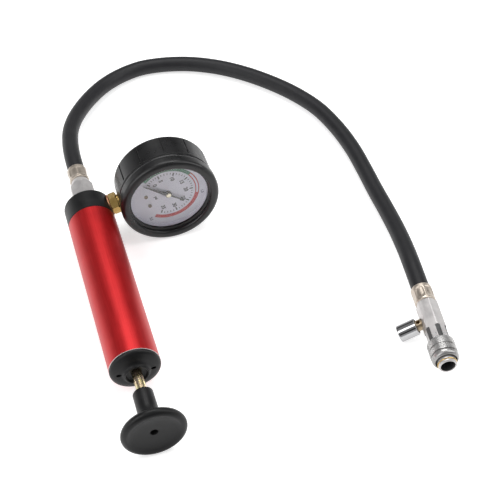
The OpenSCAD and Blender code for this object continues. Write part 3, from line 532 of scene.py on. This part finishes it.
# nodes whose finish isn't their slot's
# the sleeve_ring's darker brass is painted shade, for the ring sits deep in a narrow gap
NODE_FINISH = {"gauge_boot": BOOT_RUBBER, "dial_screws": AGED_BRASS, "vent_post": DULL_BRASS_AND_SHADE,
               "sleeve_ring": DULL_BRASS_AND_SHADE}


def finish_packed_solids():
    for part in frame["record"]["subparts"]:
        solid = nodes[part["node"]]
        solid.data.materials.clear()
        finish = NODE_FINISH.get(part["node"], SLOT_FINISH[part["material_slot"]])
        solid.data.materials.append(finish)


finish_packed_solids()


# ---- Making and placing meshes ----


def add_piece(name, mesh, finish, body, slot, *stands_for):
    """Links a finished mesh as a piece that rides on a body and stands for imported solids."""
    piece = bpy.data.objects.new(name, mesh)
    scene.collection.objects.link(piece)
    mesh.materials.clear()
    mesh.materials.append(finish)
    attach(piece, body)
    if stands_for:
        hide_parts(*stands_for)
    return piece


def settle(mesh, place, crease=32):
    """Moves a mesh into place, turns its faces outward and keeps edges over crease sharp."""
    mesh.transform(place)
    work = bmesh.new()
    work.from_mesh(mesh)
    bmesh.ops.recalc_face_normals(work, faces=work.faces)
    work.to_mesh(mesh)
    work.free()
    mesh.shade_smooth()
    mesh.set_sharp_from_angle(angle=math.radians(crease))
    return mesh


def lathe(name, rows, place, sides=96, warp=None, closed=True, crease=32):
    """A turned mesh through rows of (radius, station) in millimetres. A warp takes a radius, a
    station and an angle, and gives the radius there. A closed one comes back to its first row."""
    mesh = bpy.data.meshes.new(name)
    points, rings, faces = [], [], []
    for r, z in rows:
        if r == 0:
            rings.append([len(points)] * sides)
            points.append((0, 0, z))
            continue
        rings.append(list(range(len(points), len(points) + sides)))
        for k in range(sides):
            a = 2 * math.pi * k / sides
            far = warp(r, z, a) if warp else r
            points.append((far * math.cos(a), far * math.sin(a), z))
    if closed:
        rings.append(rings[0])
    for one, two in zip(rings, rings[1:]):
        for k in range(sides):
            n = (k + 1) % sides
            corners = list(dict.fromkeys((one[k], one[n], two[n], two[k])))
            if len(corners) > 2:
                faces.append(corners)
    mesh.from_pydata(points, [], faces)
    return settle(mesh, place, crease)


def arc(x, y, r, start, end, steps):
    """Points of (radius, station) on an arc, for rows."""
    turns = [math.radians(start + (end - start) * i / steps) for i in range(steps + 1)]
    return [(x + r * math.cos(a), y + r * math.sin(a)) for a in turns]


def oval(x, y, rx, ry, angles):
    """Points of (radius, station) on an ellipse, for rows."""
    return [(x + rx * math.cos(math.radians(a)), y + ry * math.sin(math.radians(a)))
            for a in angles]


def evenly(start, end, count):
    """Numbers from start to end, both included."""
    return [start + (end - start) * i / (count - 1) for i in range(count)]


def joined(name, meshes):
    """One mesh of several."""
    whole = bmesh.new()
    for mesh in meshes:
        whole.from_mesh(mesh)
    mesh = bpy.data.meshes.new(name)
    whole.to_mesh(mesh)
    whole.free()
    return mesh


def made_mesh(thing):
    """The mesh that an object's modifiers or text give. The object itself goes."""
    view = bpy.context.evaluated_depsgraph_get()
    mesh = bpy.data.meshes.new_from_object(thing.evaluated_get(view))
    thing.modifiers.clear()
    bpy.data.objects.remove(thing)
    return mesh


def carved(mesh, crease, *tools):
    """The mesh with the volume of each tool cut out of it."""
    work = bpy.data.objects.new("work", mesh)
    scene.collection.objects.link(work)
    cutters = []
    for tool in tools:
        cutters.append(bpy.data.objects.new("cutter", tool))
        scene.collection.objects.link(cutters[-1])
        cutters[-1].hide_render = True
        cut = work.modifiers.new("cut", "BOOLEAN")
        cut.object, cut.solver = cutters[-1], "EXACT"
    mesh = made_mesh(work)
    for cutter in cutters:
        bpy.data.objects.remove(cutter)
    mesh.set_sharp_from_angle(angle=math.radians(crease))
    return mesh


# ---- Geometry Nodes: what repeats round an axis ----


def build_rounds():
    """Copies of a mesh round the z axis: Count of them, each Step degrees on from Start, in
    rows of Per Row that rise by Rise, every second row half a step on."""
    tree = bpy.data.node_groups.new("rounds", "GeometryNodeTree")
    ins = {"Count": ("NodeSocketInt", 1), "Per Row": ("NodeSocketInt", 1000),
           "Start": ("NodeSocketFloat", 0.0), "Step": ("NodeSocketFloat", 10.0),
           "Rise": ("NodeSocketFloat", 0.0)}
    tree.interface.new_socket("Geometry", in_out="INPUT", socket_type="NodeSocketGeometry")
    for label, (kind, value) in ins.items():
        tree.interface.new_socket(label, in_out="INPUT", socket_type=kind).default_value = value
    tree.interface.new_socket("Material", in_out="INPUT", socket_type="NodeSocketMaterial")
    tree.interface.new_socket("Geometry", in_out="OUTPUT", socket_type="NodeSocketGeometry")
    given, out = tree.nodes.new("NodeGroupInput"), tree.nodes.new("NodeGroupOutput")
    marks = tree.nodes.new("GeometryNodeMeshLine")
    tree.links.new(given.outputs["Count"], marks.inputs["Count"])
    marks.inputs["Offset"].default_value = (0, 0, 0)
    index = tree.nodes.new("GeometryNodeInputIndex").outputs[0]
    row = calc(tree, "FLOOR", calc(tree, "DIVIDE", index, given.outputs["Per Row"]))
    along = calc(tree, "SUBTRACT", index, calc(tree, "MULTIPLY", row, given.outputs["Per Row"]))
    odd = calc(tree, "MULTIPLY", calc(tree, "MODULO", row, 2.0), 0.5)
    steps = calc(tree, "MULTIPLY", calc(tree, "ADD", along, odd), given.outputs["Step"])
    spin = calc(tree, "RADIANS", calc(tree, "ADD", steps, given.outputs["Start"]))
    lift = tree.nodes.new("ShaderNodeCombineXYZ")
    tree.links.new(calc(tree, "MULTIPLY", row, given.outputs["Rise"]), lift.inputs["Z"])
    moved = tree.nodes.new("GeometryNodeSetPosition")
    tree.links.new(marks.outputs["Mesh"], moved.inputs["Geometry"])
    tree.links.new(lift.outputs[0], moved.inputs["Position"])
    facing = tree.nodes.new("ShaderNodeCombineXYZ")
    tree.links.new(spin, facing.inputs["Z"])
    copies = tree.nodes.new("GeometryNodeInstanceOnPoints")
    tree.links.new(moved.outputs["Geometry"], copies.inputs["Points"])
    tree.links.new(given.outputs["Geometry"], copies.inputs["Instance"])
    tree.links.new(facing.outputs[0], copies.inputs["Rotation"])
    real = tree.nodes.new("GeometryNodeRealizeInstances")
    tree.links.new(copies.outputs["Instances"], real.inputs["Geometry"])
    painted = tree.nodes.new("GeometryNodeSetMaterial")
    tree.links.new(real.outputs["Geometry"], painted.inputs["Geometry"])
    tree.links.new(given.outputs["Material"], painted.inputs["Material"])
    tree.links.new(painted.outputs["Geometry"], out.inputs["Geometry"])
    return tree


rounds = build_rounds()
ROUNDS_INPUT = {item.name: item.identifier for item in rounds.interface.items_tree
                if item.in_out == "INPUT"}


def round_copies(one, finish, **values):
    """Copies of one mesh by the rounds group. Labels are written with _ for a space."""
    seed = bpy.data.objects.new("seed", one)
    scene.collection.objects.link(seed)
    nodes_of = seed.modifiers.new("rounds", "NODES")
    nodes_of.node_group = rounds
    for label, value in values.items():
        nodes_of[ROUNDS_INPUT[label.replace("_", " ")]] = value
    nodes_of[ROUNDS_INPUT["Material"]] = finish
    return made_mesh(seed)


def block(name, x0, x1, y0, y1, z0, z1):
    """A box between two corners."""
    mesh = bpy.data.meshes.new(name)
    points = [(x, y, z) for z in (z0, z1) for y in (y0, y1) for x in (x0, x1)]
    mesh.from_pydata(points, [], [(0, 2, 3, 1), (4, 5, 7, 6), (0, 1, 5, 4), (2, 6, 7, 3),
                                  (0, 4, 6, 2), (1, 3, 7, 5)])
    return mesh


# ---- Dial ----

# heights in the gauge, the scale's angles and radii, in degrees and millimetres
DIAL_Z = 11.5
INK_TOP = DIAL_Z + 0.04
PSI_ZERO, PSI_FIVE, PSI_STEP = 127.0, 96.0, 219 / 30
MAJOR_IN, MINOR_IN, TICK_OUT = 16.5, 17.9, 19.3
NUMBER_R, NUMBER_SIZE = 13.7, 4.1
BAND_IN, BAND_OUT = 21.0, 24.0


def psi_angle(psi):
    """Where the scale has a pressure. Its first stretch is shorter than the rest."""
    if psi < 5:
        return PSI_ZERO + (PSI_FIVE - PSI_ZERO) * psi / 5
    return PSI_FIVE - PSI_STEP * (psi - 5)


def arc_strip(name, r0, r1, start, end):
    """A closed printed strip that runs round the dial between two angles."""
    mesh = bpy.data.meshes.new(name)
    angles = [math.radians(a) for a in evenly(start, end, max(3, int(abs(end - start) / 2)))]
    points = [(r * math.cos(a), r * math.sin(a), z) for a in angles
              for r, z in ((r0, DIAL_Z), (r1, DIAL_Z), (r1, INK_TOP), (r0, INK_TOP))]
    faces = [(0, 1, 2, 3), tuple(len(points) - 4 + k for k in (3, 2, 1, 0))]
    for i in range(0, len(points) - 4, 4):
        faces += [(i + k, i + (k + 1) % 4, i + 4 + (k + 1) % 4, i + 4 + k) for k in range(4)]
    mesh.from_pydata(points, [], faces)
    return mesh


def lettering(text, size, r, angle):
    """A printed word that reads with the stem downward, its middle at r and angle."""
    words = bpy.data.curves.new("words", "FONT")
    words.body = text
    words.size = size
    words.align_x, words.align_y = "CENTER", "CENTER"
    words.extrude = (INK_TOP - DIAL_Z) / 2
    words.offset = 0.04 * size
    thing = bpy.data.objects.new("words", words)
    scene.collection.objects.link(thing)
    mesh = made_mesh(thing)
    a = math.radians(angle)
    mesh.transform(shift(r * math.cos(a), r * math.sin(a), (DIAL_Z + INK_TOP) / 2) @ turn(-90, "Z"))
    return mesh


def print_on_dial(name, finish, *meshes):
    mesh = joined(name, meshes)
    settle(mesh, GAUGE)
    add_piece(name, mesh, finish, "pump", "dial_face")


def print_dial():
    def ticks(count, start, step, inner, width):
        one = block("tick", inner, TICK_OUT, -width / 2, width / 2, DIAL_Z, INK_TOP)
        return round_copies(one, BLACK_INK, Count=count, Start=start, Step=step)

    thin, thick = 0.5, 0.95
    print_on_dial("dial_ticks", BLACK_INK,
                  ticks(5, PSI_ZERO, (PSI_FIVE - PSI_ZERO) / 5, MINOR_IN, thin),
                  ticks(31, PSI_FIVE, -PSI_STEP, MINOR_IN, thin),
                  ticks(7, PSI_FIVE, -5 * PSI_STEP, MAJOR_IN, thick),
                  ticks(1, PSI_ZERO, 1.0, MAJOR_IN, thick))
    print_on_dial("dial_numbers", BLACK_INK,
                  lettering("0", NUMBER_SIZE, NUMBER_R, 119),
                  *[lettering(str(psi), NUMBER_SIZE, NUMBER_R, psi_angle(psi))
                    for psi in range(5, 40, 5)],
                  lettering("psi", 3.0, 9.4, 180))
    print_on_dial("dial_outer_numbers", GREY_INK,
                  lettering("1.5", 2.8, 26.5, -25), lettering("2.5", 2.8, 26.5, -137))
    print_on_dial("green_band", GREEN_INK, arc_strip("green", BAND_IN, BAND_OUT, 125, 26))
    print_on_dial("red_band", RED_INK, arc_strip("red", BAND_IN, BAND_OUT, -26.5, -133))
    print_on_dial("red_lines", RED_INK, arc_strip("line", BAND_IN, BAND_IN + 0.8, 26, -26.5),
                  arc_strip("line", BAND_OUT - 0.8, BAND_OUT, 26, -26.5),
                  arc_strip("line", BAND_OUT - 0.9, BAND_OUT, 27.4, 26),
                  arc_strip("line", BAND_IN, BAND_OUT, 26, 24.8))
    # the pale ring that holds the dial's edge down, seen under the boot's lip
    ring = lathe("dial_ring", [(29.15, DIAL_Z + 0.02), (29.37, DIAL_Z + 0.02), (29.37, 15.36),
                               (29.15, 15.36)], GAUGE, sides=128)
    add_piece("dial_ring", ring, DIAL, "pump", "dial_face")


print_dial()

# the needle's angle at rest, and the faces of its blade
NEEDLE_REST = 130.5
NEEDLE_LOW, NEEDLE_TOP = 13.38, 13.82


def make_needle():
    """A straight needle with a weighted tail, at rest a little before zero, and its boss."""
    outline = [(2.2, -0.62), (20.5, -0.42), (22.6, 0), (20.5, 0.42), (2.2, 0.62)]
    turns = [math.radians(a) for a in evenly(14, 166, 16)]
    outline += [(2.5 * math.cos(a), 2.5 * math.sin(a)) for a in turns]
    outline += [(-2.4, 0.55), (-10.6, 0.5), (-11, 1.35), (-14, 0.95), (-14, -0.95), (-11, -1.35),
                (-10.6, -0.5), (-2.4, -0.55)]
    outline += [(2.5 * math.cos(a), -2.5 * math.sin(a)) for a in reversed(turns)]
    count = len(outline)
    mesh = bpy.data.meshes.new("needle_blade")
    mesh.from_pydata([(x, y, z) for z in (NEEDLE_LOW, NEEDLE_TOP) for x, y in outline], [],
                     [tuple(range(count)), tuple(range(count, 2 * count))]
                     + [(i, (i + 1) % count, (i + 1) % count + count, i + count)
                        for i in range(count)])
    settle(mesh, GAUGE @ turn(NEEDLE_REST, "Z"), 25)
    add_piece("needle_blade", mesh, NEEDLE, "needle", "needle_black", "needle")
    hub = lathe("needle_boss", [(0, 12.4), (2, 12.4), (2, 13.36), (1.95, 13.84)]
                + arc(1.5, 14.15, 0.45, 0, 90, 5) + [(1.2, 14.6), (1.0, 14.45), (0, 14.45)],
                GAUGE, sides=48, closed=False)
    add_piece("needle_boss", hub, PALE_BRASS, "needle", "brass", "needle_hub")


make_needle()


# ---- Knob and bottom cap ----


def make_knob():
    """The knob: a slim stem, a flare, a thick soft rim and a dished face with a screw hole."""
    rows = [(3.4, 1.4), (5.6, 1.4)] + arc(5.7, 2.5, 1.1, -80, 0, 5)
    rows += [(6.85, 8), (6.95, 16), (7.25, 21)] + [(7.4 + 0.2 * t * t, 21 + 0.7 * t)
                                                for t in evenly(1, 4, 4)]
    rows += oval(12.2, 24.2, -1.6, 4.2, evenly(10, 75, 6))
    rows += [(14.6, 28.9), (17.4, 29.7)] + arc(18.2, 32.8, 3.3, -72, 84, 16)
    rows += [(17.4, 35.75), (16.4, 35.2), (15.4, 34.7), (14, 34.3), (11, 33.9), (7, 33.7),
             (3.6, 33.65), (2.7, 33.6), (2.45, 33.2), (2.4, 26), (3.4, 26)]
    mesh = lathe("knob_body", rows, KNOB, sides=128, crease=50)
    add_piece("knob_body", mesh, BLACK_PLASTIC, "plunger", "black_plastic", "knob")


def make_bottom_cap():
    """The cap at the knob end: a shallow dome that rises to a collar round the rod's recess,
    with two pockets for a pin spanner."""
    rows = [(17.45, 0.02), (17.5, -1.0)] + oval(10.6, -1.1, 6.8, -3.4, evenly(4, 84, 12))
    rows += [(10.9 - 2.5 * math.sin(math.radians(a)), -7.0 + 2.5 * math.cos(math.radians(a)))
             for a in evenly(10, 80, 9)]
    rows += arc(7.85, -7.0, 0.55, 0, -150, 7) + [(7.2, -6.6), (7.0, -5.5), (6.6, -5.2),
                                                (3.62, -5.1), (3.62, -2.6), (5.65, -2.6),
                                                (5.65, 3), (15.9, 3), (15.9, 0.02)]
    mesh = lathe("bottom_cap_body", rows, along_barrel(0), sides=128, crease=45)
    pockets = [lathe("pocket", [(0, -9), (1.25, -9), (1.25, -2.4), (0, -2.4)],
                     along_barrel(0) @ shift(side * 11.6, 0, 0) @ Matrix.Scale(1.45, 4, (1, 0, 0)),
                     sides=32, closed=False) for side in (1, -1)]
    mesh = carved(mesh, 45, *pockets)
    add_piece("bottom_cap_body", mesh, BLACK_PLASTIC, "pump", "black_plastic", "bottom_cap")


make_knob()
make_bottom_cap()


# ---- Hose ends and coupler ----

FERRULE_R, DENTS = 7.4, 6


def hexagon(across_flats, corner_at):
    """A warp that cuts a turned shape down to a hexagon."""
    def cut(r, z, a):
        off = (a - math.radians(corner_at) - math.pi / 6) % (math.pi / 3) - math.pi / 6
        return min(r, across_flats / 2 / math.cos(off))
    return cut


def make_ferrule(name, place, length, facing, node):
    """A crimped ferrule from its open end at 0: broad dents with soft raised edges, the first
    of them at the angle called facing."""
    def crimp(r, z, a):
        if r < 6.9:
            return r
        off = math.degrees((a - math.radians(facing)) % (2 * math.pi / DENTS))
        across = min(off, 360 / DENTS - off) / 25
        along = (z - length / 2) / (length / 2 - 2.4)
        far = (abs(across) ** 3 + abs(along) ** 4) ** (1 / 3.4)
        ridge = 0.1 * math.exp(-((far - 1.12) / 0.16) ** 2)
        dent = 0.55 / (1 + math.exp((far - 0.9) * 12))
        return r + ridge - dent
    rows = [(6.45, 0.2), (FERRULE_R - 0.3, 0), (FERRULE_R - 0.05, 0.12)]
    rows += [(FERRULE_R, z) for z in evenly(0.4, length - 0.9, 40)]
    rows += arc(FERRULE_R - 0.9, length - 0.9, 0.9, 15, 90, 5) + [(3.9, length), (3.9, length - 2),
                                                                (6.45, length - 2)]
    mesh = lathe(name, rows, place, sides=120, warp=crimp, crease=60)
    add_piece(name, mesh, FERRULE_NICKEL, "pump", "ferrule_nickel", node)


def make_outlet():
    """The fitting on the head: a hexagon whose far end is turned to a taper."""
    rows = [(0, -5), (4.9, -5), (4.9, 0), (8.0, 0), (9.5, 0.8), (9.5, 21.0)]
    rows += [(9.5 - 2.9 * t ** 0.85, 21.0 + 7.8 * t) for t in evenly(0.05, 1, 14)]
    rows += [(3.8, 28.8), (3.8, 40), (0, 40)]
    mesh = lathe("outlet_fitting_body", rows, along_barrel(160.5), warp=hexagon(16.4, 0),
                 closed=False, crease=22)
    add_piece("outlet_fitting_body", mesh, NICKEL, "pump", "nickel", "outlet_fitting")
    make_ferrule("pump_ferrule_shell", along_barrel(203.5) @ turn(180, "X"), 14.2, 62,
                 "pump_ferrule")


make_outlet()

# the coupler's stations from the ferrule's opening, and its radii
HEX_AT, NECK_AT, SLEEVE_AT, SLEEVE_END, SPIGOT_END = 14.4, 38.7, 50.3, 66.0, 70.0
NECK_R, SPIGOT_R, SPIGOT_BORE, MOUTH_R = 7.35, 6.3, 5.0, 7.5
# the vent stands on a flat, so the corners are 30 degrees off it
HEX_CORNER = VENT_TURN + 30


def darken(mesh, where):
    """Paints shade: gives a near-black finish to the faces whose corners all satisfy where(radius,
    station).
    """
    mesh.materials.append(PAINTED_SHADE)
    back = COUPLER.inverted()
    for face in mesh.polygons:
        corners = [back @ mesh.vertices[v].co for v in face.vertices]
        if all(where(math.hypot(c.x, c.y), c.z) for c in corners):
            face.material_index = 1


def make_coupler_body():
    """A hexagon, a stretch with its corners turned off, and the spigot in the mouth."""
    neck = [(NECK_R + 0.8 * (1 - math.sqrt(1 - (1 - t) ** 2)), NECK_AT + 2.2 * t)
            for t in evenly(0, 1, 10)]
    rows = [(2.2, 3), (3.7, 3), (3.7, HEX_AT), (6.9, HEX_AT), (8.2, HEX_AT + 0.6), (8.2, NECK_AT)]
    rows += neck + [(NECK_R, SLEEVE_AT), (SPIGOT_R, SLEEVE_AT)]
    groove = SPIGOT_END - 2.4
    rows += [(SPIGOT_R, groove), (SPIGOT_R - 0.3, groove), (SPIGOT_R - 0.3, groove + 0.8),
             (SPIGOT_R, groove + 0.8), (SPIGOT_R, SPIGOT_END - 0.5),
             (SPIGOT_R - 0.5, SPIGOT_END), (5.15, SPIGOT_END),
             (SPIGOT_BORE, SPIGOT_END - 0.15), (SPIGOT_BORE, 63), (4.6, 63), (4.6, 50), (2.2, 50)]
    mesh = lathe("coupler_body_shell", rows, COUPLER, warp=hexagon(14, HEX_CORNER), crease=20)
    vent_bore = lathe("vent_bore", [(0, -0.1), (2.1, -0.1), (2.1, 4), (3.02, 4), (3.02, 20),
                                    (0, 20)], VENT, sides=48, closed=False)
    mesh = carved(mesh, 20, vent_bore)
    add_piece("coupler_body_shell", mesh, NICKEL, "pump", "nickel", "coupler_body")
    # painted shade: the neck's turned-off corners and the bore are painted near black, for the
    # shade and dark reflection that they show
    darken(mesh, lambda r, z: NECK_AT < z < SLEEVE_AT + 0.01 and r > NECK_R - 0.05
           or r < SPIGOT_BORE + 0.1 and z > SLEEVE_AT - 1)
    ring = lathe("mouth_ring", [(SPIGOT_R - 0.25, groove + 0.05), (SPIGOT_R + 0.3, groove + 0.05),
                                (SPIGOT_R + 0.42, groove + 0.35), (SPIGOT_R + 0.3, groove + 0.72),
                                (SPIGOT_R - 0.25, groove + 0.72)], COUPLER)
    add_piece("mouth_ring", ring, BRASS, "pump", "brass")


def make_sleeve():
    """The sleeve: two knurled bands with a groove between them, and a smooth nose."""
    r, groove_1, groove_2 = 9.25, 56.4, 61.6
    rows = [(7.45, SLEEVE_AT)] + arc(r - 0.4, SLEEVE_AT + 0.5, 0.5, -90, 0, 4)
    for z, half, deep in ((groove_1, 0.35, 0.45), (groove_2, 0.4, 0.7)):
        rows += [(r, z - half - 0.15), (r - deep, z - half), (r - deep, z + half),
                 (r, z + half + 0.15)]
    rows += [(r + 0.1, 62.6)] + arc(r - 2.3, SLEEVE_END - 2.1, 2.1, 0, 90, 10)[1:]
    rows += [(7.6, SLEEVE_END), (MOUTH_R, SLEEVE_END - 0.15), (MOUTH_R, 62.8), (6.45, 62.8),
             (6.45, 55), (7.45, 55)]
    shell = lathe("sleeve_shell", rows, Matrix.Identity(4))
    # the knurl: four-sided studs in rows, every second row half a stud on
    per_row, row_h = 34, 0.86
    wide, tall = math.pi * r / per_row * 0.96, row_h * 0.96
    stud = bpy.data.meshes.new("stud")
    stud.from_pydata([(r - 0.05, -wide, 0), (r - 0.05, 0, -tall), (r - 0.05, wide, 0),
                      (r - 0.05, 0, tall), (r + 0.36, 0, 0)], [],
                     [(0, 1, 4), (1, 2, 4), (2, 3, 4), (3, 0, 4), (3, 2, 1, 0)])
    bands = []
    for start, end in ((SLEEVE_AT + 1.2, groove_1 - 1.0), (groove_1 + 1.1, groove_2 - 1.1)):
        stud_rows = int((end - start) / row_h) + 1
        band = round_copies(stud.copy(), SLEEVE_NICKEL, Count=stud_rows * per_row,
                            Per_Row=per_row, Step=360 / per_row, Rise=row_h)
        band.transform(shift(0, 0, start))
        bands.append(band)
    mesh = joined("coupler_sleeve_shell", [shell, *bands])
    mesh.transform(COUPLER)
    mesh.shade_smooth()
    mesh.set_sharp_from_angle(angle=math.radians(28))
    add_piece("coupler_sleeve_shell", mesh, SLEEVE_NICKEL, "sleeve", "nickel", "coupler_sleeve")
    # painted shade: the inside of the nose, round the mouth and counterbore, is painted near black
    darken(mesh, lambda r, z: r < MOUTH_R + 0.15 and z > 60)


make_coupler_body()
make_sleeve()
make_ferrule("coupler_ferrule_shell", COUPLER, HEX_AT, 118, "coupler_ferrule")


# ---- Hose ----

HOSE_R = 6.5
# the hose's middle line in the source's frame, from the pump's fitting to the coupler
HOSE_ROUTE = [
    (0, 189, 21.5), (0, 203.5, 21.5),
    (0, 216, 21.5), (0.5, 228, 20.8), (2, 243, 19), (5, 259, 16.8), (11, 276, 14.2),
    (20, 293, 11.6), (31, 309, 9.2), (45, 324, 7.4), (62, 335, 6.6), (82, 341, 6.6),
    (104, 340, 6.6), (126, 334, 6.6), (147, 323, 6.6), (166, 308, 6.6), (183, 290, 6.6),
    (199, 268, 6.6), (212, 242, 6.6), (219, 213, 6.6), (222, 184, 6.6), (222, 157, 6.6),
    (221, 131, 7.2), (220, 105, 9), (218, 80, 12), (215, 56, 15), (212.5, 40, 16.7),
    (210.8, 28, 17), (208.7, 13, 16.982), (206.632, -1.352, 16.982),
]


def smooth_route(points, steps):
    """The route's points with steps more between each two, in metres in the row frame."""
    points = [Vector(p) - Vector((X_MID, Y_MID, 0)) for p in points]
    path = []
    for i in range(len(points) - 1):
        before, a, b = points[max(i - 1, 0)], points[i], points[i + 1]
        after = points[min(i + 2, len(points) - 1)]
        for k in range(steps):
            t = k / steps
            path.append((2 * a + (b - before) * t + (2 * before - 5 * a + 4 * b - after) * t * t
                         + (3 * a - before - 3 * b + after) * t ** 3) / 2)
    path.append(points[-1])
    return [p * 0.001 for p in path]


def sweep(name, path, radius, sides, uv_name):
    """A closed round tube along a path, with a UV map of turns round it and metres along it."""
    mesh = bpy.data.meshes.new(name)
    points, far = [], [0.0]
    side = Vector((1, 0, 0))
    for i, p in enumerate(path):
        if i:
            far.append(far[-1] + (p - path[i - 1]).length)
        ahead = (path[min(i + 1, len(path) - 1)] - path[max(i - 1, 0)]).normalized()
        side = (side - side.dot(ahead) * ahead).normalized()
        up = ahead.cross(side)
        for k in range(sides):
            a = 2 * math.pi * k / sides
            points.append(p + radius * (math.cos(a) * side + math.sin(a) * up))
    faces = []
    for i in range(len(path) - 1):
        for k in range(sides):
            a, b = i * sides + k, i * sides + (k + 1) % sides
            faces.append((a, b, b + sides, a + sides))
    last = (len(path) - 1) * sides
    faces.append(tuple(reversed(range(sides))))
    faces.append(tuple(last + k for k in range(sides)))
    mesh.from_pydata(points, [], faces)
    uv = mesh.uv_layers.new(name=uv_name)
    for face in mesh.polygons:
        for corner in face.loop_indices:
            v = mesh.loops[corner].vertex_index
            ring, k = divmod(v, sides)
            if k == 0 and len(face.vertices) == 4 and max(x % sides for x in face.vertices) > 1:
                k = sides
            uv.data[corner].uv = (k / sides, far[ring])
        face.use_smooth = len(face.vertices) == 4
    return mesh, far[-1]


def make_hose():
    """The hose, a hair thinner than its diameter says, its middle line and its length."""
    path = smooth_route(HOSE_ROUTE, 7)
    mesh, length = sweep("rubber_hose", path, HOSE_R * 0.001 - 0.00003, 40, "along_hose")
    hose = add_piece("rubber_hose", mesh, HOSE_RUBBER, "pump", "hose_rubber", "hose")
    return hose, path, length


hose, hose_path, hose_length = make_hose()
on_hose = [nodes[n] for n in frame["record"]["physics"]["cord_nodes"] if n != "hose"]
on_hose += [bpy.data.objects[n] for n in ("coupler_ferrule_shell", "coupler_body_shell",
                                          "coupler_sleeve_shell", "mouth_ring")]
